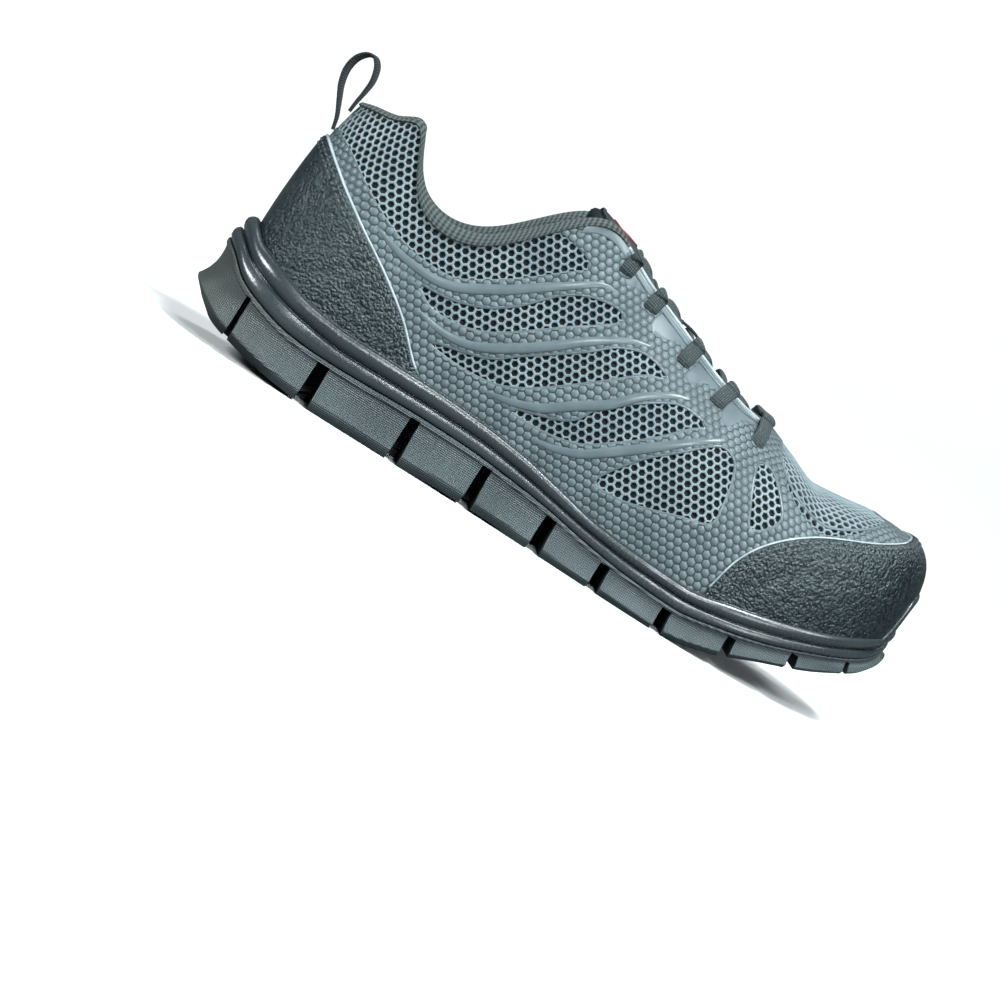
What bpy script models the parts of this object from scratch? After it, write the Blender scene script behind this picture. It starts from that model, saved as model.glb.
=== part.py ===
# A safety sneaker for the right foot: a hollow upper in a cupped midsole on a block-tread outsole.
# +X points to the toe, -Y to the outer side of the foot, +Z up. All lengths are in metres.
import math
from collections import namedtuple

import bmesh
import bpy
import numpy as np
from mathutils import Vector

# Driving sizes
shoe_length = 0.302        # heel of the outsole to its toe
foot_width = 0.1005        # across the feather line at the ball of the foot
upper_height = 0.118       # floor to the top of the eyestays
sole_height = 0.047        # floor to the top of the rand at the heel
wall = 0.003               # film, mesh, foam and lining of the upper together
collar_pad = 0.009         # the padded collar, outside to inside
collar_roll = 0.0046       # height of the knitted roll along the collar
gap = 0.00035              # air between two pieces that touch
overlay_gap = 0.0007       # the same on the upper's curves, where facets differ a little
overlay = 0.0015           # leather of the toe cap and the heel counter
wave_height = 0.0009       # raised bands over the mesh
wave_width = 0.0028
sole_flare = 0.006         # how far the tread edge stands beyond the feather line
heel_rake = 0.0065         # how much further the sole runs back under the heel
rand_lip = 0.002           # wall of the rand and of the toe bumper at its top
bumper_height = 0.0175     # toe bumper above the rand
web = 0.0017               # outsole above its slots
slot_width = 0.0058        # gap between two tread blocks
groove_width = 0.0035      # long grooves of the tread
groove_depth = 0.0035
insole_thickness = 0.004
tongue_width = 0.062
tongue_thickness = 0.0048
tongue_crown = 0.0045      # rise of the tongue between the throat's edges
lace_width = 0.0066
lace_thickness = 0.0022
eyelet_length = 0.0062
eyelet_width = 0.0044
strap_width = 0.009        # webbing of the pull loop
strap_thickness = 0.0012
loop_height = 0.032        # pull loop from its seam to its top
keeper_length = 0.007
keeper_width = 0.013

# Shares that give single features their shape
toe_slope = .07            # how steeply the crest still climbs where it meets the toe
pad_start = .35            # share of the wall's height from which it thickens to the collar
pad_full = .85
thin_rim = .2              # roll of the edge where there is no padding, of collar_roll
bumper_rows = 1.5          # how far the toe bumper reaches round, in sections
loop_seam = .42            # seam of the pull loop below the heel tab's top, of loop_height
tongue_lean = .45          # climb of the tongue's free end as a share of the climb before it
tuck_share = .6            # depth of the rand's inner edge, of the rand's height

# Mesh density
rows = 20                  # the sections run from 0 at the toe to 20 at the heel
around = 2 * rows          # and back along the inner side, one closed ring
crest_rows = 6             # the upper is closed over the foot up to this section
station_rows = [0, .5, 1, 1.5, 2, 2.5, 3, 3.5, 4, 4.5, 5, 5.5, 6, 6.5, 7, 7.5, 8, 9, 10, 11, 11.5, 12, 12.5,
                13, 13.5, 14, 15, 15.5, 16, 16.5, 17, 17.5, 18, 18.5, 19, 19.5, 20]
places = station_rows + [around - row for row in station_rows[-2:0:-1]]
stations = len(places)     # points round the ring
levels = [0, .14, .28, .40, .50, .60, .72, .86, 1]

# Sections of the upper. A foot point lies on the feather line and a top point on the crest, the
# throat or the collar edge. x is a share of shoe_length from the middle, out and inn are places
# across as shares of foot_width, z of upper_height.
# The curve between them leaves the foot point upwards for a share rise of the height, standing
# out by bulge (of foot_width), and comes down from the top point for a share reach of the
# distance at drop degrees. roll and pad are shares of collar_roll and of collar_pad.
Section = namedtuple("Section", "foot_x foot_out foot_in top_x top_out top_in top_z "
                                "rise bulge reach drop roll pad")
sections = [
    Section(.4885, .040, .040, .364, .030, .030, .6640, 1.04, .023, .57, 0, .2, .33),
    Section(.4780, -.139, .209, .364, .030, .030, .6640, 1.03, .025, .56, 0, .2, .33),
    Section(.4500, -.274, .328, .361, .025, .025, .6635, 1.02, .028, .53, 0, .2, .33),
    Section(.4040, -.378, .418, .344, .020, .020, .6570, .99, .030, .51, 0, .2, .33),
    Section(.3410, -.458, .473, .305, .015, .015, .6490, .92, .030, .47, 0, .2, .33),
    Section(.2780, -.502, .488, .258, .010, .010, .6910, .85, .030, .41, 1, .2, .33),
    Section(.2220, -.512, .473, .217, .010, .010, .7310, .78, .032, .36, 4, .2, .33),
    Section(.1890, -.502, .453, .2035, -.139, .159, .7290, .72, .034, .30, 14, .2, .33),
    Section(.1520, -.488, .423, .1655, -.224, .244, .7420, .66, .034, .29, 24, .2, .33),
    Section(.0930, -.453, .373, .106, -.229, .249, .7880, .58, .030, .28, 34, .2, .33),
    Section(.0265, -.413, .333, .040, -.229, .249, .8560, .50, .025, .28, 45, .2, .33),
    Section(-.046, -.378, .303, -.033, -.239, .259, .9340, .42, .022, .28, 58, .3, .36),
    Section(-.1125, -.358, .303, -.099, -.279, .289, .9960, .38, .020, .28, 72, .6, .55),
    Section(-.169, -.348, .313, -.159, -.318, .323, .8820, .36, .018, .28, 84, 1, 1),
    Section(-.222, -.346, .323, -.2185, -.328, .333, .7420, .36, .015, .30, 88, 1, 1),
    Section(-.275, -.343, .333, -.278, -.318, .328, .7070, .36, .014, .30, 86, 1, 1),
    Section(-.328, -.333, .333, -.328, -.279, .289, .7880, .34, .012, .28, 80, .95, .95),
    Section(-.3775, -.308, .313, -.359, -.239, .249, .9340, .32, .011, .26, 76, .7, .9),
    Section(-.4205, -.239, .249, -.3875, -.184, .194, .9240, .30, .010, .25, 73, .55, .9),
    Section(-.4500, -.129, .144, -.4205, -.104, .114, .9070, .30, .010, .245, 71, .55, .9),
    Section(-.4586, .010, .010, -.4385, .010, .010, .8970, .30, .010, .245, 71, .55, .9),
]

# Heights of the sole's lines along the shoe: x as a share of shoe_length from the middle, the
# others as shares of sole_height. feather is where the upper meets the footbed.
SoleLine = namedtuple("SoleLine", "x rand groove seam feather bottom")
sole_lines = [
    SoleLine(-.500, 1.130, 1.000, .840, .860, .298),
    SoleLine(-.4735, 1.060, .860, .730, .790, .205),
    SoleLine(-.4490, .930, .745, .600, .660, .145),
    SoleLine(-.4240, .870, .680, .530, .600, .112),
    SoleLine(-.3610, .738, .583, .428, .560, .045),
    SoleLine(-.3210, .705, .548, .411, .543, .019),
    SoleLine(-.2980, .696, .536, .411, .543, 0),
    SoleLine(-.1690, .694, .538, .432, .543, 0),
    SoleLine(-.1060, .670, .532, .428, .532, .017),
    SoleLine(-.0430, .630, .496, .400, .511, .017),
    SoleLine(.0200, .555, .436, .360, .468, 0),
    SoleLine(.0830, .477, .379, .296, .415, 0),
    SoleLine(.1460, .451, .345, .253, .351, 0),
    SoleLine(.2120, .440, .334, .236, .319, 0),
    SoleLine(.2750, .517, .379, .294, .368, .072),
    SoleLine(.3380, .606, .470, .381, .447, .216),
    SoleLine(.4010, .715, .591, .511, .596, .351),
    SoleLine(.4370, .798, .677, .589, .681, .447),
    SoleLine(.4635, .868, .749, .660, .772, .521),
    SoleLine(.4900, .957, .860, .770, .862, .650),
    SoleLine(.5000, 1.000, .900, .800, .900, .740),
]

# Rings of the sole, each between two of the lines above at a share of the way; out and rake
# are shares of sole_flare and of heel_rake.
Ring = namedtuple("Ring", "low high share out rake")
midsole_rings = [
    Ring("seam", "groove", 0, .25, .92),
    Ring("seam", "groove", .22, .52, 1.0),
    Ring("seam", "groove", .6, .56, .9),
    Ring("seam", "groove", .9, .46, .75),
    Ring("groove", "rand", 0, .27, .55),
    Ring("groove", "rand", .14, .55, .6),
    Ring("groove", "rand", .5, .70, .5),
    Ring("groove", "rand", .82, .60, .3),
]
outsole_rings = [
    Ring("bottom", "seam", 1, .22, .95),
    Ring("bottom", "seam", .92, .50, 1.0),
    Ring("bottom", "seam", .84, .50, 1.0),
    Ring("bottom", "seam", .76, .36, 1.0),
    Ring("bottom", "seam", .50, .52, 1.0),
    Ring("bottom", "seam", .20, 1.0, 1.0),
    Ring("bottom", "seam", 0, .50, -.2),
]

# Slots between the tread blocks: x as a share of shoe_length, width as a share of slot_width
Slot = namedtuple("Slot", "x width")
slots = [
    Slot(-.430, .45), Slot(-.3080, 1.15), Slot(-.1758, .95), Slot(-.0692, .95), Slot(.0305, 1.1),
    Slot(.1160, .95), Slot(.2086, .95), Slot(.2964, .8), Slot(.3780, .75), Slot(.4470, .4),
]
slot_draft = .75           # width of a slot at its top as a share of its width at the floor
groove_places = (-.16, .16)    # long grooves, as shares of foot_width from the tread's middle

# Edges of the leather overlays as seen from the side, x of shoe_length and z of upper_height
EdgePoint = namedtuple("EdgePoint", "x z")
cap_edge = [
    EdgePoint(.2335, .160), EdgePoint(.249, .326), EdgePoint(.274, .425), EdgePoint(.312, .502),
    EdgePoint(.3375, .535), EdgePoint(.401, .603), EdgePoint(.4495, .667),
]
counter_edge = [
    EdgePoint(-.454, .764), EdgePoint(-.424, .700), EdgePoint(-.360, .583), EdgePoint(-.297, .481),
    EdgePoint(-.256, .403), EdgePoint(-.207, .287), EdgePoint(-.195, .270),
]

# Middle lines of the raised waves, seen from the side in the same shares
waves = [
    [EdgePoint(-.345, .606), EdgePoint(-.294, .569), EdgePoint(-.2335, .568),
     EdgePoint(-.1765, .640), EdgePoint(-.138, .709), EdgePoint(-.100, .779),
     EdgePoint(-.070, .829), EdgePoint(-.049, .836)],
    [EdgePoint(-.245, .452), EdgePoint(-.213, .436), EdgePoint(-.184, .438),
     EdgePoint(-.157, .458), EdgePoint(-.119, .515), EdgePoint(-.081, .586),
     EdgePoint(-.043, .664), EdgePoint(-.005, .725), EdgePoint(.024, .749)],
    [EdgePoint(-.123, .349), EdgePoint(-.089, .364), EdgePoint(-.051, .402),
     EdgePoint(-.020, .461), EdgePoint(.014, .521), EdgePoint(.0455, .601),
     EdgePoint(.076, .653), EdgePoint(.099, .675)],
    [EdgePoint(-.043, .302), EdgePoint(-.011, .315), EdgePoint(.019, .346),
     EdgePoint(.0455, .396), EdgePoint(.084, .475), EdgePoint(.122, .555),
     EdgePoint(.145, .598), EdgePoint(.162, .628)],
]

# Eyelets from the top one down, seen from the side in the same shares
eyelets = [
    EdgePoint(-.052, .911), EdgePoint(-.0015, .852), EdgePoint(.0685, .767),
    EdgePoint(.131, .714), EdgePoint(.200, .679),
]

# Pull loop from its outer seam over the top to its inner seam, as shares of loop_height
# behind and above the point of the heel where it is sewn on
LoopPoint = namedtuple("LoopPoint", "back up")
loop_path = [
    LoopPoint(0, 0), LoopPoint(.04, .16), LoopPoint(.12, .34), LoopPoint(.20, .52),
    LoopPoint(.235, .70), LoopPoint(.205, .86), LoopPoint(.12, .965), LoopPoint(.02, .985),
    LoopPoint(-.06, .90), LoopPoint(-.10, .74), LoopPoint(-.09, .58), LoopPoint(-.065, .42),
    LoopPoint(-.052, .29),
]

# Top of the tongue past the last section it follows: each step is a share of tongue_width
# onwards and the width left there
TongueStep = namedtuple("TongueStep", "onward width")
tongue_top = [
    TongueStep(.10, .98), TongueStep(.19, .88), TongueStep(.25, .68), TongueStep(.275, .42),
]


def closed_spline(values):
    # Smooth closed curve through evenly numbered values; returns a function of the number
    values = np.array(values, float)
    count = len(values)
    system = 4 * np.eye(count) + np.roll(np.eye(count), 1, 0) + np.roll(np.eye(count), -1, 0)
    bend = np.roll(values, 1) - 2 * values + np.roll(values, -1)
    curve = np.linalg.solve(system, 6 * bend)

    def at(number):
        first = math.floor(number)
        part = number - first
        here = first % count
        after = (here + 1) % count
        back = 1 - part
        straight = back * values[here] + part * values[after]
        bow = (back ** 3 - back) * curve[here] + (part ** 3 - part) * curve[after]
        return float(straight + bow / 6)
    return at


def smooth_table(knots, values):
    # Curve through a table that never swings past its values; flat beyond both ends
    knots = np.array(knots, float)
    values = np.array(values, float)
    step = np.diff(knots)
    slope = np.diff(values) / step
    tangent = np.zeros(len(knots))
    tangent[0] = slope[0]
    tangent[-1] = slope[-1]
    for i in range(1, len(knots) - 1):
        if slope[i - 1] * slope[i] > 0:
            first = 2 * step[i] + step[i - 1]
            second = step[i] + 2 * step[i - 1]
            tangent[i] = (first + second) / (first / slope[i - 1] + second / slope[i])

    def at(x):
        x = min(max(x, knots[0]), knots[-1])
        i = int(min(max(np.searchsorted(knots, x) - 1, 0), len(step) - 1))
        u = (x - knots[i]) / step[i]
        start = (1 + 2 * u) * (1 - u) ** 2 * values[i] + u * (1 - u) ** 2 * step[i] * tangent[i]
        end = u * u * (3 - 2 * u) * values[i + 1] + u * u * (u - 1) * step[i] * tangent[i + 1]
        return float(start + end)
    return at


def both_sides(outer, inner):
    # One closed ring of values: down the outer side from toe to heel and back along the inner
    there = [getattr(section, outer) for section in sections]
    back = [getattr(section, inner) for section in sections[-2:0:-1]]
    return closed_spline(there + back)


def edge_ring(outer, inner):
    # The same for the throat and collar edge, which starts at the front of the throat
    there = [getattr(section, outer) for section in sections[crest_rows:]]
    back = [getattr(section, inner) for section in sections[-2:crest_rows:-1]]
    return closed_spline(there + back)


def crest_line(field):
    front = sections[:crest_rows + 1]
    return smooth_table(range(crest_rows + 1), [getattr(section, field) for section in front])


def line_table(points):
    return smooth_table([point.x * shoe_length for point in points],
                        [point.z * upper_height for point in points])


foot_x = both_sides("foot_x", "foot_x")
foot_y = both_sides("foot_out", "foot_in")
edge_x = edge_ring("top_x", "top_x")
edge_y = edge_ring("top_out", "top_in")
edge_z = edge_ring("top_z", "top_z")
crest_x = crest_line("top_x")
crest_y = crest_line("top_out")
crest_z = crest_line("top_z")
shape = {name: both_sides(name, name) for name in ("rise", "bulge", "reach", "drop", "roll", "pad")}
level = {name: smooth_table([line.x * shoe_length for line in sole_lines],
                            [getattr(line, name) * sole_height for line in sole_lines])
         for name in ("rand", "groove", "seam", "feather", "bottom")}


def foot_point(t):
    # Point of the feather line at place t of the ring
    x = foot_x(t) * shoe_length
    return Vector((x, foot_y(t) * foot_width, level["feather"](x)))


def outward(t):
    # Direction away from the foot, square to the feather line in plan
    ahead = foot_point(t + .05)
    behind = foot_point(t - .05)
    along = ahead - behind
    return Vector((-along.y, along.x, 0)).normalized()


def row_of(t):
    # Section number of a place on the ring, the same on both sides
    t = t % around
    return min(t, around - t)


def top_point(t):
    t = t % around
    row = row_of(t)
    if row <= crest_rows:
        x, y, z = crest_x(row), crest_y(row), crest_z(row)
    else:
        place = t - crest_rows
        x, y, z = edge_x(place), edge_y(place), edge_z(place)
    return Vector((x * shoe_length, y * foot_width, z * upper_height))


def crest_slope(t):
    # How fast the crest climbs towards the toe, where the upper is closed over the foot
    row = row_of(t)
    if row > crest_rows:
        return 0
    ahead = crest_x(min(row + .3, crest_rows)), crest_z(min(row + .3, crest_rows))
    behind = crest_x(max(row - .3, 1)), crest_z(max(row - .3, 1))
    run = (ahead[0] - behind[0]) * shoe_length
    if abs(run) < 1e-5:
        return toe_slope
    return (ahead[1] - behind[1]) * upper_height / run


def meridian(t):
    # Control points of the cubic from the feather line to the top edge
    foot = foot_point(t)
    top = top_point(t)
    out = outward(t)
    first = foot + out * shape["bulge"](t) * foot_width
    first.z += shape["rise"](t) * (top.z - foot.z)
    drop = math.radians(shape["drop"](t))
    handle = out * math.cos(drop)
    handle.z = crest_slope(t) * handle.x - math.sin(drop)
    second = top + handle * shape["reach"](t) * (top - foot).length
    return foot, first, second, top


def skin(t, s):
    # The upper's outer surface: t round the foot, s from the feather line up to the top edge
    a, b, c, d = meridian(t)
    r = 1 - s
    return a * r ** 3 + b * 3 * r * r * s + c * 3 * r * s * s + d * s ** 3


def crest_normal(t):
    return Vector((-crest_slope(t), 0, 1)).normalized()


def skin_normal(t, s):
    if s <= 0:
        return outward(t)
    if s >= 1 and row_of(t) <= crest_rows:
        return crest_normal(t)
    low = max(s - .02, 0)
    high = min(s + .02, 1)
    upward = skin(t, high) - skin(t, low)
    across = skin(t + .08, min(s, .98)) - skin(t - .08, min(s, .98))
    return upward.cross(across).normalized()


def off_skin(t, s, distance):
    return skin(t, s) + skin_normal(t, s) * distance


def halving(function, low, high):
    # Place where an ever growing function crosses zero
    for _ in range(30):
        middle = (low + high) / 2
        if function(middle) < 0:
            low = middle
        else:
            high = middle
    return (low + high) / 2


def share_at_height(t, height):
    return halving(lambda s: skin(t, s).z - height, 0, 1)


def share_at_line(t, line):
    def above(s):
        point = skin(t, s)
        return point.z - line(point.x)
    return halving(above, 0, 1)


def place_on_side(x, z, inner):
    # Ring place and share of the surface point that a side view shows at x, z
    t = rows * (1 - (x / shoe_length + .5))
    if inner:
        t = around - t
    s = .5
    for _ in range(25):
        point = skin(t, s)
        by_t = (skin(t + .02, s) - point) / .02
        by_s = (skin(t, min(s + .01, 1)) - skin(t, s - .01)) / (min(s + .01, 1) - s + .01)
        grid = by_t.x * by_s.z - by_t.z * by_s.x
        miss_x = x - point.x
        miss_z = z - point.z
        move_t = (miss_x * by_s.z - miss_z * by_s.x) / grid
        move_s = (miss_z * by_t.x - miss_x * by_t.z) / grid
        t += max(-1.5, min(1.5, move_t))
        s = max(.02, min(.98, s + max(-.2, min(.2, move_s))))
    return t, s


def material(name, colour, roughness):
    made = bpy.data.materials.new(name)
    made.use_nodes = True
    shader = made.node_tree.nodes["Principled BSDF"]
    shader.inputs["Base Color"].default_value = (*colour, 1)
    shader.inputs["Roughness"].default_value = roughness
    return made


def add_object(name, points, faces, finish):
    # Welds the points that meet, turns the faces outwards and makes the object
    mesh = bpy.data.meshes.new(name)
    mesh.from_pydata([tuple(point) for point in points], [], faces)
    work = bmesh.new()
    work.from_mesh(mesh)
    bmesh.ops.remove_doubles(work, verts=work.verts, dist=2e-6)
    bmesh.ops.dissolve_degenerate(work, edges=work.edges, dist=1e-6)
    bmesh.ops.triangulate(work, faces=[face for face in work.faces if len(face.verts) > 4])
    bmesh.ops.recalc_face_normals(work, faces=work.faces)
    if work.calc_volume(signed=True) < 0:
        bmesh.ops.reverse_faces(work, faces=work.faces)
    work.to_mesh(mesh)
    work.free()
    mesh.shade_smooth()
    mesh.set_sharp_from_angle(angle=math.radians(40))
    made = bpy.data.objects.new(name, mesh)
    made.data.materials.append(finish)
    bpy.context.scene.collection.objects.link(made)
    made.parent = shoe
    return made


def sweep(name, loops, finish):
    # Solid through closed loops of equally many points, with both ends filled
    count = len(loops[0])
    points = [point for loop in loops for point in loop]
    faces = []
    for i in range(len(loops) - 1):
        for j in range(count):
            k = (j + 1) % count
            faces.append((i * count + j, i * count + k, (i + 1) * count + k, (i + 1) * count + j))
    last = (len(loops) - 1) * count
    for j in range(count // 2 - 1):
        rung = (j, j + 1, count - 2 - j, count - 1 - j)
        faces.append(rung)
        faces.append(tuple(last + corner for corner in reversed(rung)))
    return add_object(name, points, faces, finish)


def stack(name, rings, finish):
    # Solid through rings round the foot, with the first and the last ring filled across
    points = [point for ring in rings for point in ring]
    faces = []
    for i in range(len(rings) - 1):
        for j in range(stations):
            k = (j + 1) % stations
            faces.append((i * stations + j, i * stations + k,
                          (i + 1) * stations + k, (i + 1) * stations + j))
    for start in (0, (len(rings) - 1) * stations):
        for j in range(stations // 2):
            rung = [j, j + 1, stations - 1 - j, (stations - j) % stations]
            corners = list(dict.fromkeys(start + corner for corner in rung))
            faces.append(tuple(corners))
    return add_object(name, points, faces, finish)


def toe_share(x):
    # The sole stands out less in front of the toe than beside the foot
    forward = max(0, min(1, (x / shoe_length - .40) / .09))
    return 1 - .42 * forward


def heel_share(x):
    backward = max(0, min(1, (-x / shoe_length - .33) / .12))
    return backward * backward * (3 - 2 * backward)


def sole_ring(ring, lift=0):
    points = []
    for t in places:
        foot = foot_point(t)
        reach = ring.out * sole_flare * toe_share(foot.x)
        reach += ring.rake * heel_rake * heel_share(foot.x)
        point = foot + outward(t) * reach
        low = level[ring.low](point.x)
        high = level[ring.high](point.x)
        points.append(Vector((point.x, point.y, low + ring.share * (high - low) + lift)))
    return points


def rand_top(t):
    # Height of the rand's top edge, with the bumper in front of the toe
    bumper = max(0, min(1, (bumper_rows - row_of(t)) * 2))
    return level["rand"](foot_point(t).x) + bumper * bumper_height


def make_outsole():
    rings = [sole_ring(ring) for ring in outsole_rings]
    for point in rings[0]:
        point.z -= gap / 2
    return stack("outsole", rings, rubber)


def make_midsole():
    rings = [sole_ring(ring) for ring in midsole_rings]
    for point in rings[0]:
        point.z += gap / 2
    top_out, top_in, inside, floor = [], [], [], []
    for t in places:
        foot = foot_point(t)
        share = share_at_height(t, rand_top(t))
        top_out.append(off_skin(t, share, overlay_gap + rand_lip))
        top_in.append(off_skin(t, share, overlay_gap))
        inside.append(off_skin(t, share * tuck_share, 2 * overlay_gap))
        edge = foot + outward(t) * gap
        floor.append(Vector((edge.x, edge.y, level["feather"](edge.x) - gap)))
    return stack("midsole", rings + [top_out, top_in, inside, floor], foam)


def make_insole():
    rings = []
    for lift in (0, insole_thickness):
        ring = []
        for t in places:
            edge = foot_point(t) - outward(t) * (wall + gap)
            ring.append(Vector((edge.x, edge.y, level["feather"](edge.x) + lift)))
        rings.append(ring)
    return stack("insole", rings, sock)


def wall_at(t, s):
    # The wall thickens into the padded collar over the upper part of the sides
    climb = max(0, min(1, (s - pad_start) / (pad_full - pad_start)))
    climb = climb * climb * (3 - 2 * climb)
    return wall + (max(shape["pad"](t) * collar_pad, wall) - wall) * climb


def make_upper():
    points, faces = [], []
    ring = places
    for s in levels:
        points += [skin(t, s) for t in ring]
    for s in levels:
        points += [off_skin(t, s, -wall_at(t, s)) for t in ring]
    depth = len(levels)
    for side in (0, depth):
        for i in range(depth - 1):
            for j in range(stations):
                k = (j + 1) % stations
                low = (side + i) * stations
                quad = (low + j, low + k, low + stations + k, low + stations + j)
                faces.append(quad if side else quad[::-1])
    for j in range(stations):
        k = (j + 1) % stations
        inner = depth * stations
        faces.append((j, k, inner + k, inner + j))
    # the rim: a half round from the outer edge over to the inner one
    turns = (math.pi / 4, math.pi / 2, 3 * math.pi / 4)
    first = ring.index(crest_rows)
    edge = list(range(first, stations - first + 1))
    start = len(points)
    for j in edge:
        t = ring[j]
        outer = skin(t, 1)
        inner = off_skin(t, 1, -wall_at(t, 1))
        along = top_point(t + .1) - top_point(t - .1)
        if j in (edge[0], edge[-1]):
            along = Vector((0, -1, 0))
        up = skin_normal(t, 1).cross(along).normalized()
        if up.dot(skin(t, 1) - skin(t, .9)) < 0:
            up = -up
        if j in (edge[0], edge[-1]):
            up = Vector((-1, 0, -crest_slope(t))).normalized()
        height = max(shape["roll"](t), thin_rim) * collar_roll
        for turn in turns:
            across = (1 - math.cos(turn)) / 2
            points.append(outer.lerp(inner, across) + up * height * math.sin(turn))
    outer_top = (depth - 1) * stations
    inner_top = (2 * depth - 1) * stations
    for n in range(len(edge) - 1):
        here = [outer_top + edge[n]] + [start + 3 * n + i for i in range(3)]
        here.append(inner_top + edge[n])
        after = [outer_top + edge[n + 1]] + [start + 3 * n + 3 + i for i in range(3)]
        after.append(inner_top + edge[n + 1])
        for i in range(4):
            faces.append((here[i], here[i + 1], after[i + 1], after[i]))
    return add_object("upper", points, faces, knit)


def overlay_solid(name, places_round, low_share, high_share, steps):
    # Leather laid on the upper between two shares of its surface
    loops = []
    for t in places_round:
        low = low_share(t)
        high = max(high_share(t), low + .02)
        shares = [low + (high - low) * i / steps for i in range(steps + 1)]
        outside = [off_skin(t, s, overlay_gap + overlay) for s in shares]
        inside = [off_skin(t, s, overlay_gap) for s in shares]
        loops.append(outside + inside[::-1])
    return sweep(name, loops, leather)


def above_rand(t):
    return share_at_height(t, rand_top(t) + gap)


def edge_meets_rand(line, low, high):
    # Place of the ring, between two places, where an overlay's edge comes down to the rand
    def open_height(t):
        share = share_at_line(t, line)
        return skin(t, share).z - rand_top(t) - overlay
    if open_height(low) > open_height(high):
        return halving(lambda t: -open_height(t), low, high)
    return halving(open_height, low, high)


def make_toe_cap():
    line = line_table(cap_edge)
    outer_end = edge_meets_rand(line, 4, crest_rows + 1)
    inner_end = edge_meets_rand(line, around - crest_rows - 1, around - 4) - around
    between = [t - around for t in places if t > rows] + [t for t in places if t < rows]
    ring = [t for t in between if inner_end + .2 < t < outer_end - .2]
    ring = [inner_end] + ring + [outer_end]
    return overlay_solid("toe_cap", ring, above_rand, lambda t: share_at_line(t, line), 11)


def make_counter():
    line = line_table(counter_edge)
    outer_end = edge_meets_rand(line, rows - 8, rows - 4)
    inner_end = edge_meets_rand(line, rows + 4, rows + 8)
    ring = [outer_end] + [t for t in places if outer_end + .2 < t < inner_end - .2]
    ring.append(inner_end)
    return overlay_solid("heel_counter", ring, above_rand, lambda t: share_at_line(t, line), 5)


def make_wave(name, path, inner):
    # Band on the upper's side, tapering to both ends
    steps = 8
    knots = range(len(path))
    along_x = smooth_table(knots, [point.x * shoe_length for point in path])
    along_z = smooth_table(knots, [point.z * upper_height for point in path])
    spots = []
    for i in range(steps + 1):
        place = (len(path) - 1) * i / steps
        spots.append(place_on_side(along_x(place), along_z(place), inner))
    middles = [skin(t, s) for t, s in spots]
    loops = []
    for i, (t, s) in enumerate(spots):
        normal = skin_normal(t, s)
        along = middles[min(i + 1, steps)] - middles[max(i - 1, 0)]
        across = normal.cross(along).normalized()
        taper = .3 + .7 * math.sin(math.pi * i / steps) ** .6
        half = across * wave_width / 2 * taper
        base = middles[i] + normal * gap
        crown = base + normal * wave_height * taper
        loops.append([base - half, crown - half * .55, crown + half * .55, base + half])
    return sweep(name, loops, film)


def tongue_section(row):
    # Outer face of the tongue under one section, from its outer to its inner edge, with normals
    count = 10
    sides = []
    tuck = max(0, min(1, (row - crest_rows) / 1.5))
    depth = wall + 2 * gap + tuck * (lace_thickness + gap)
    for t in (row, around - row):
        arc = [0]
        shares = [1 - .01 * i for i in range(60)]
        trail = [skin(t, s) for s in shares]
        for i in range(1, len(trail)):
            arc.append(arc[-1] + (trail[i] - trail[i - 1]).length)
        sides.append((t, shares, arc))
    edges = [off_skin(t, 1, -depth) for t, _, _ in sides]
    normals = [skin_normal(t, 1) for t, _, _ in sides]
    half_span = (edges[1] - edges[0]).length / 2
    crown = tongue_crown * min(1, half_span / (tongue_width / 4)) ** 2
    middle_normal = (normals[0] + normals[1]).normalized()
    points, directions = [], []
    for i in range(count + 1):
        place = -tongue_width / 2 + tongue_width * i / count
        if abs(place) < half_span:
            share = place / half_span
            point = edges[0].lerp(edges[1], (share + 1) / 2)
            point = point + middle_normal * crown * (1 - share * share)
            side = normals[0] if share < 0 else normals[1]
            direction = middle_normal.lerp(side, abs(share)).normalized()
        else:
            t, shares, arc = sides[0] if place < 0 else sides[1]
            s = float(np.interp(abs(place) - half_span, arc, shares))
            point = off_skin(t, s, -depth)
            direction = skin_normal(t, s)
        points.append(point)
        directions.append(direction)
    return points, directions


def make_tongue():
    tongue_rows = (5, 5.5, 6, 6.5, 7, 7.5, 8, 8.5, 9, 9.5, 10, 10.5, 11, 11.5)
    spread = [tongue_section(row) for row in tongue_rows]
    base, directions = spread[-1]
    before = spread[-3][0]
    middle = len(base) // 2
    forward = (base[middle] - before[middle]).normalized()
    forward.z *= tongue_lean
    for step in tongue_top:
        heart = base[middle] + forward * step.onward * tongue_width
        points = []
        for point in base:
            away = point - base[middle]
            along = away.x * step.width
            points.append(heart + Vector((along, away.y * step.width, away.z * step.width ** 2)))
        spread.append((points, directions))
    loops = []
    for number, (points, ways) in enumerate(spread):
        thick = tongue_thickness * min(1, .6 + .1 * number)
        if number == len(spread) - 1:
            thick *= .5
        under = [point - way * thick for point, way in zip(points, ways)]
        loops.append(points + under[::-1])
    return sweep("tongue", loops, tongue_cloth)


def throat_tables():
    # Heights of the tongue's middle and of its edges at the throat, along the shoe
    found = []
    for number in range(13):
        row = crest_rows + number / 2
        if row > 11.5:
            break
        points, _ = tongue_section(row)
        out_edge = top_point(row)
        depth = wall + gap + lace_thickness
        side = out_edge - skin_normal(row, 1) * depth
        found.append((points[len(points) // 2], side.z))
    found.sort(key=lambda pair: pair[0].x)
    along = [pair[0].x for pair in found]
    ridge = smooth_table(along, [pair[0].z for pair in found])
    side = smooth_table(along, [min(pair[1], pair[0].z) for pair in found])
    return ridge, side


def on_tongue(x, y, across):
    # A point over the tongue: across runs from -1 to 1 between the throat's edges
    top = ridge_height(x)
    return Vector((x, y, top - (top - side_height(x)) * across * across))


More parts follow.
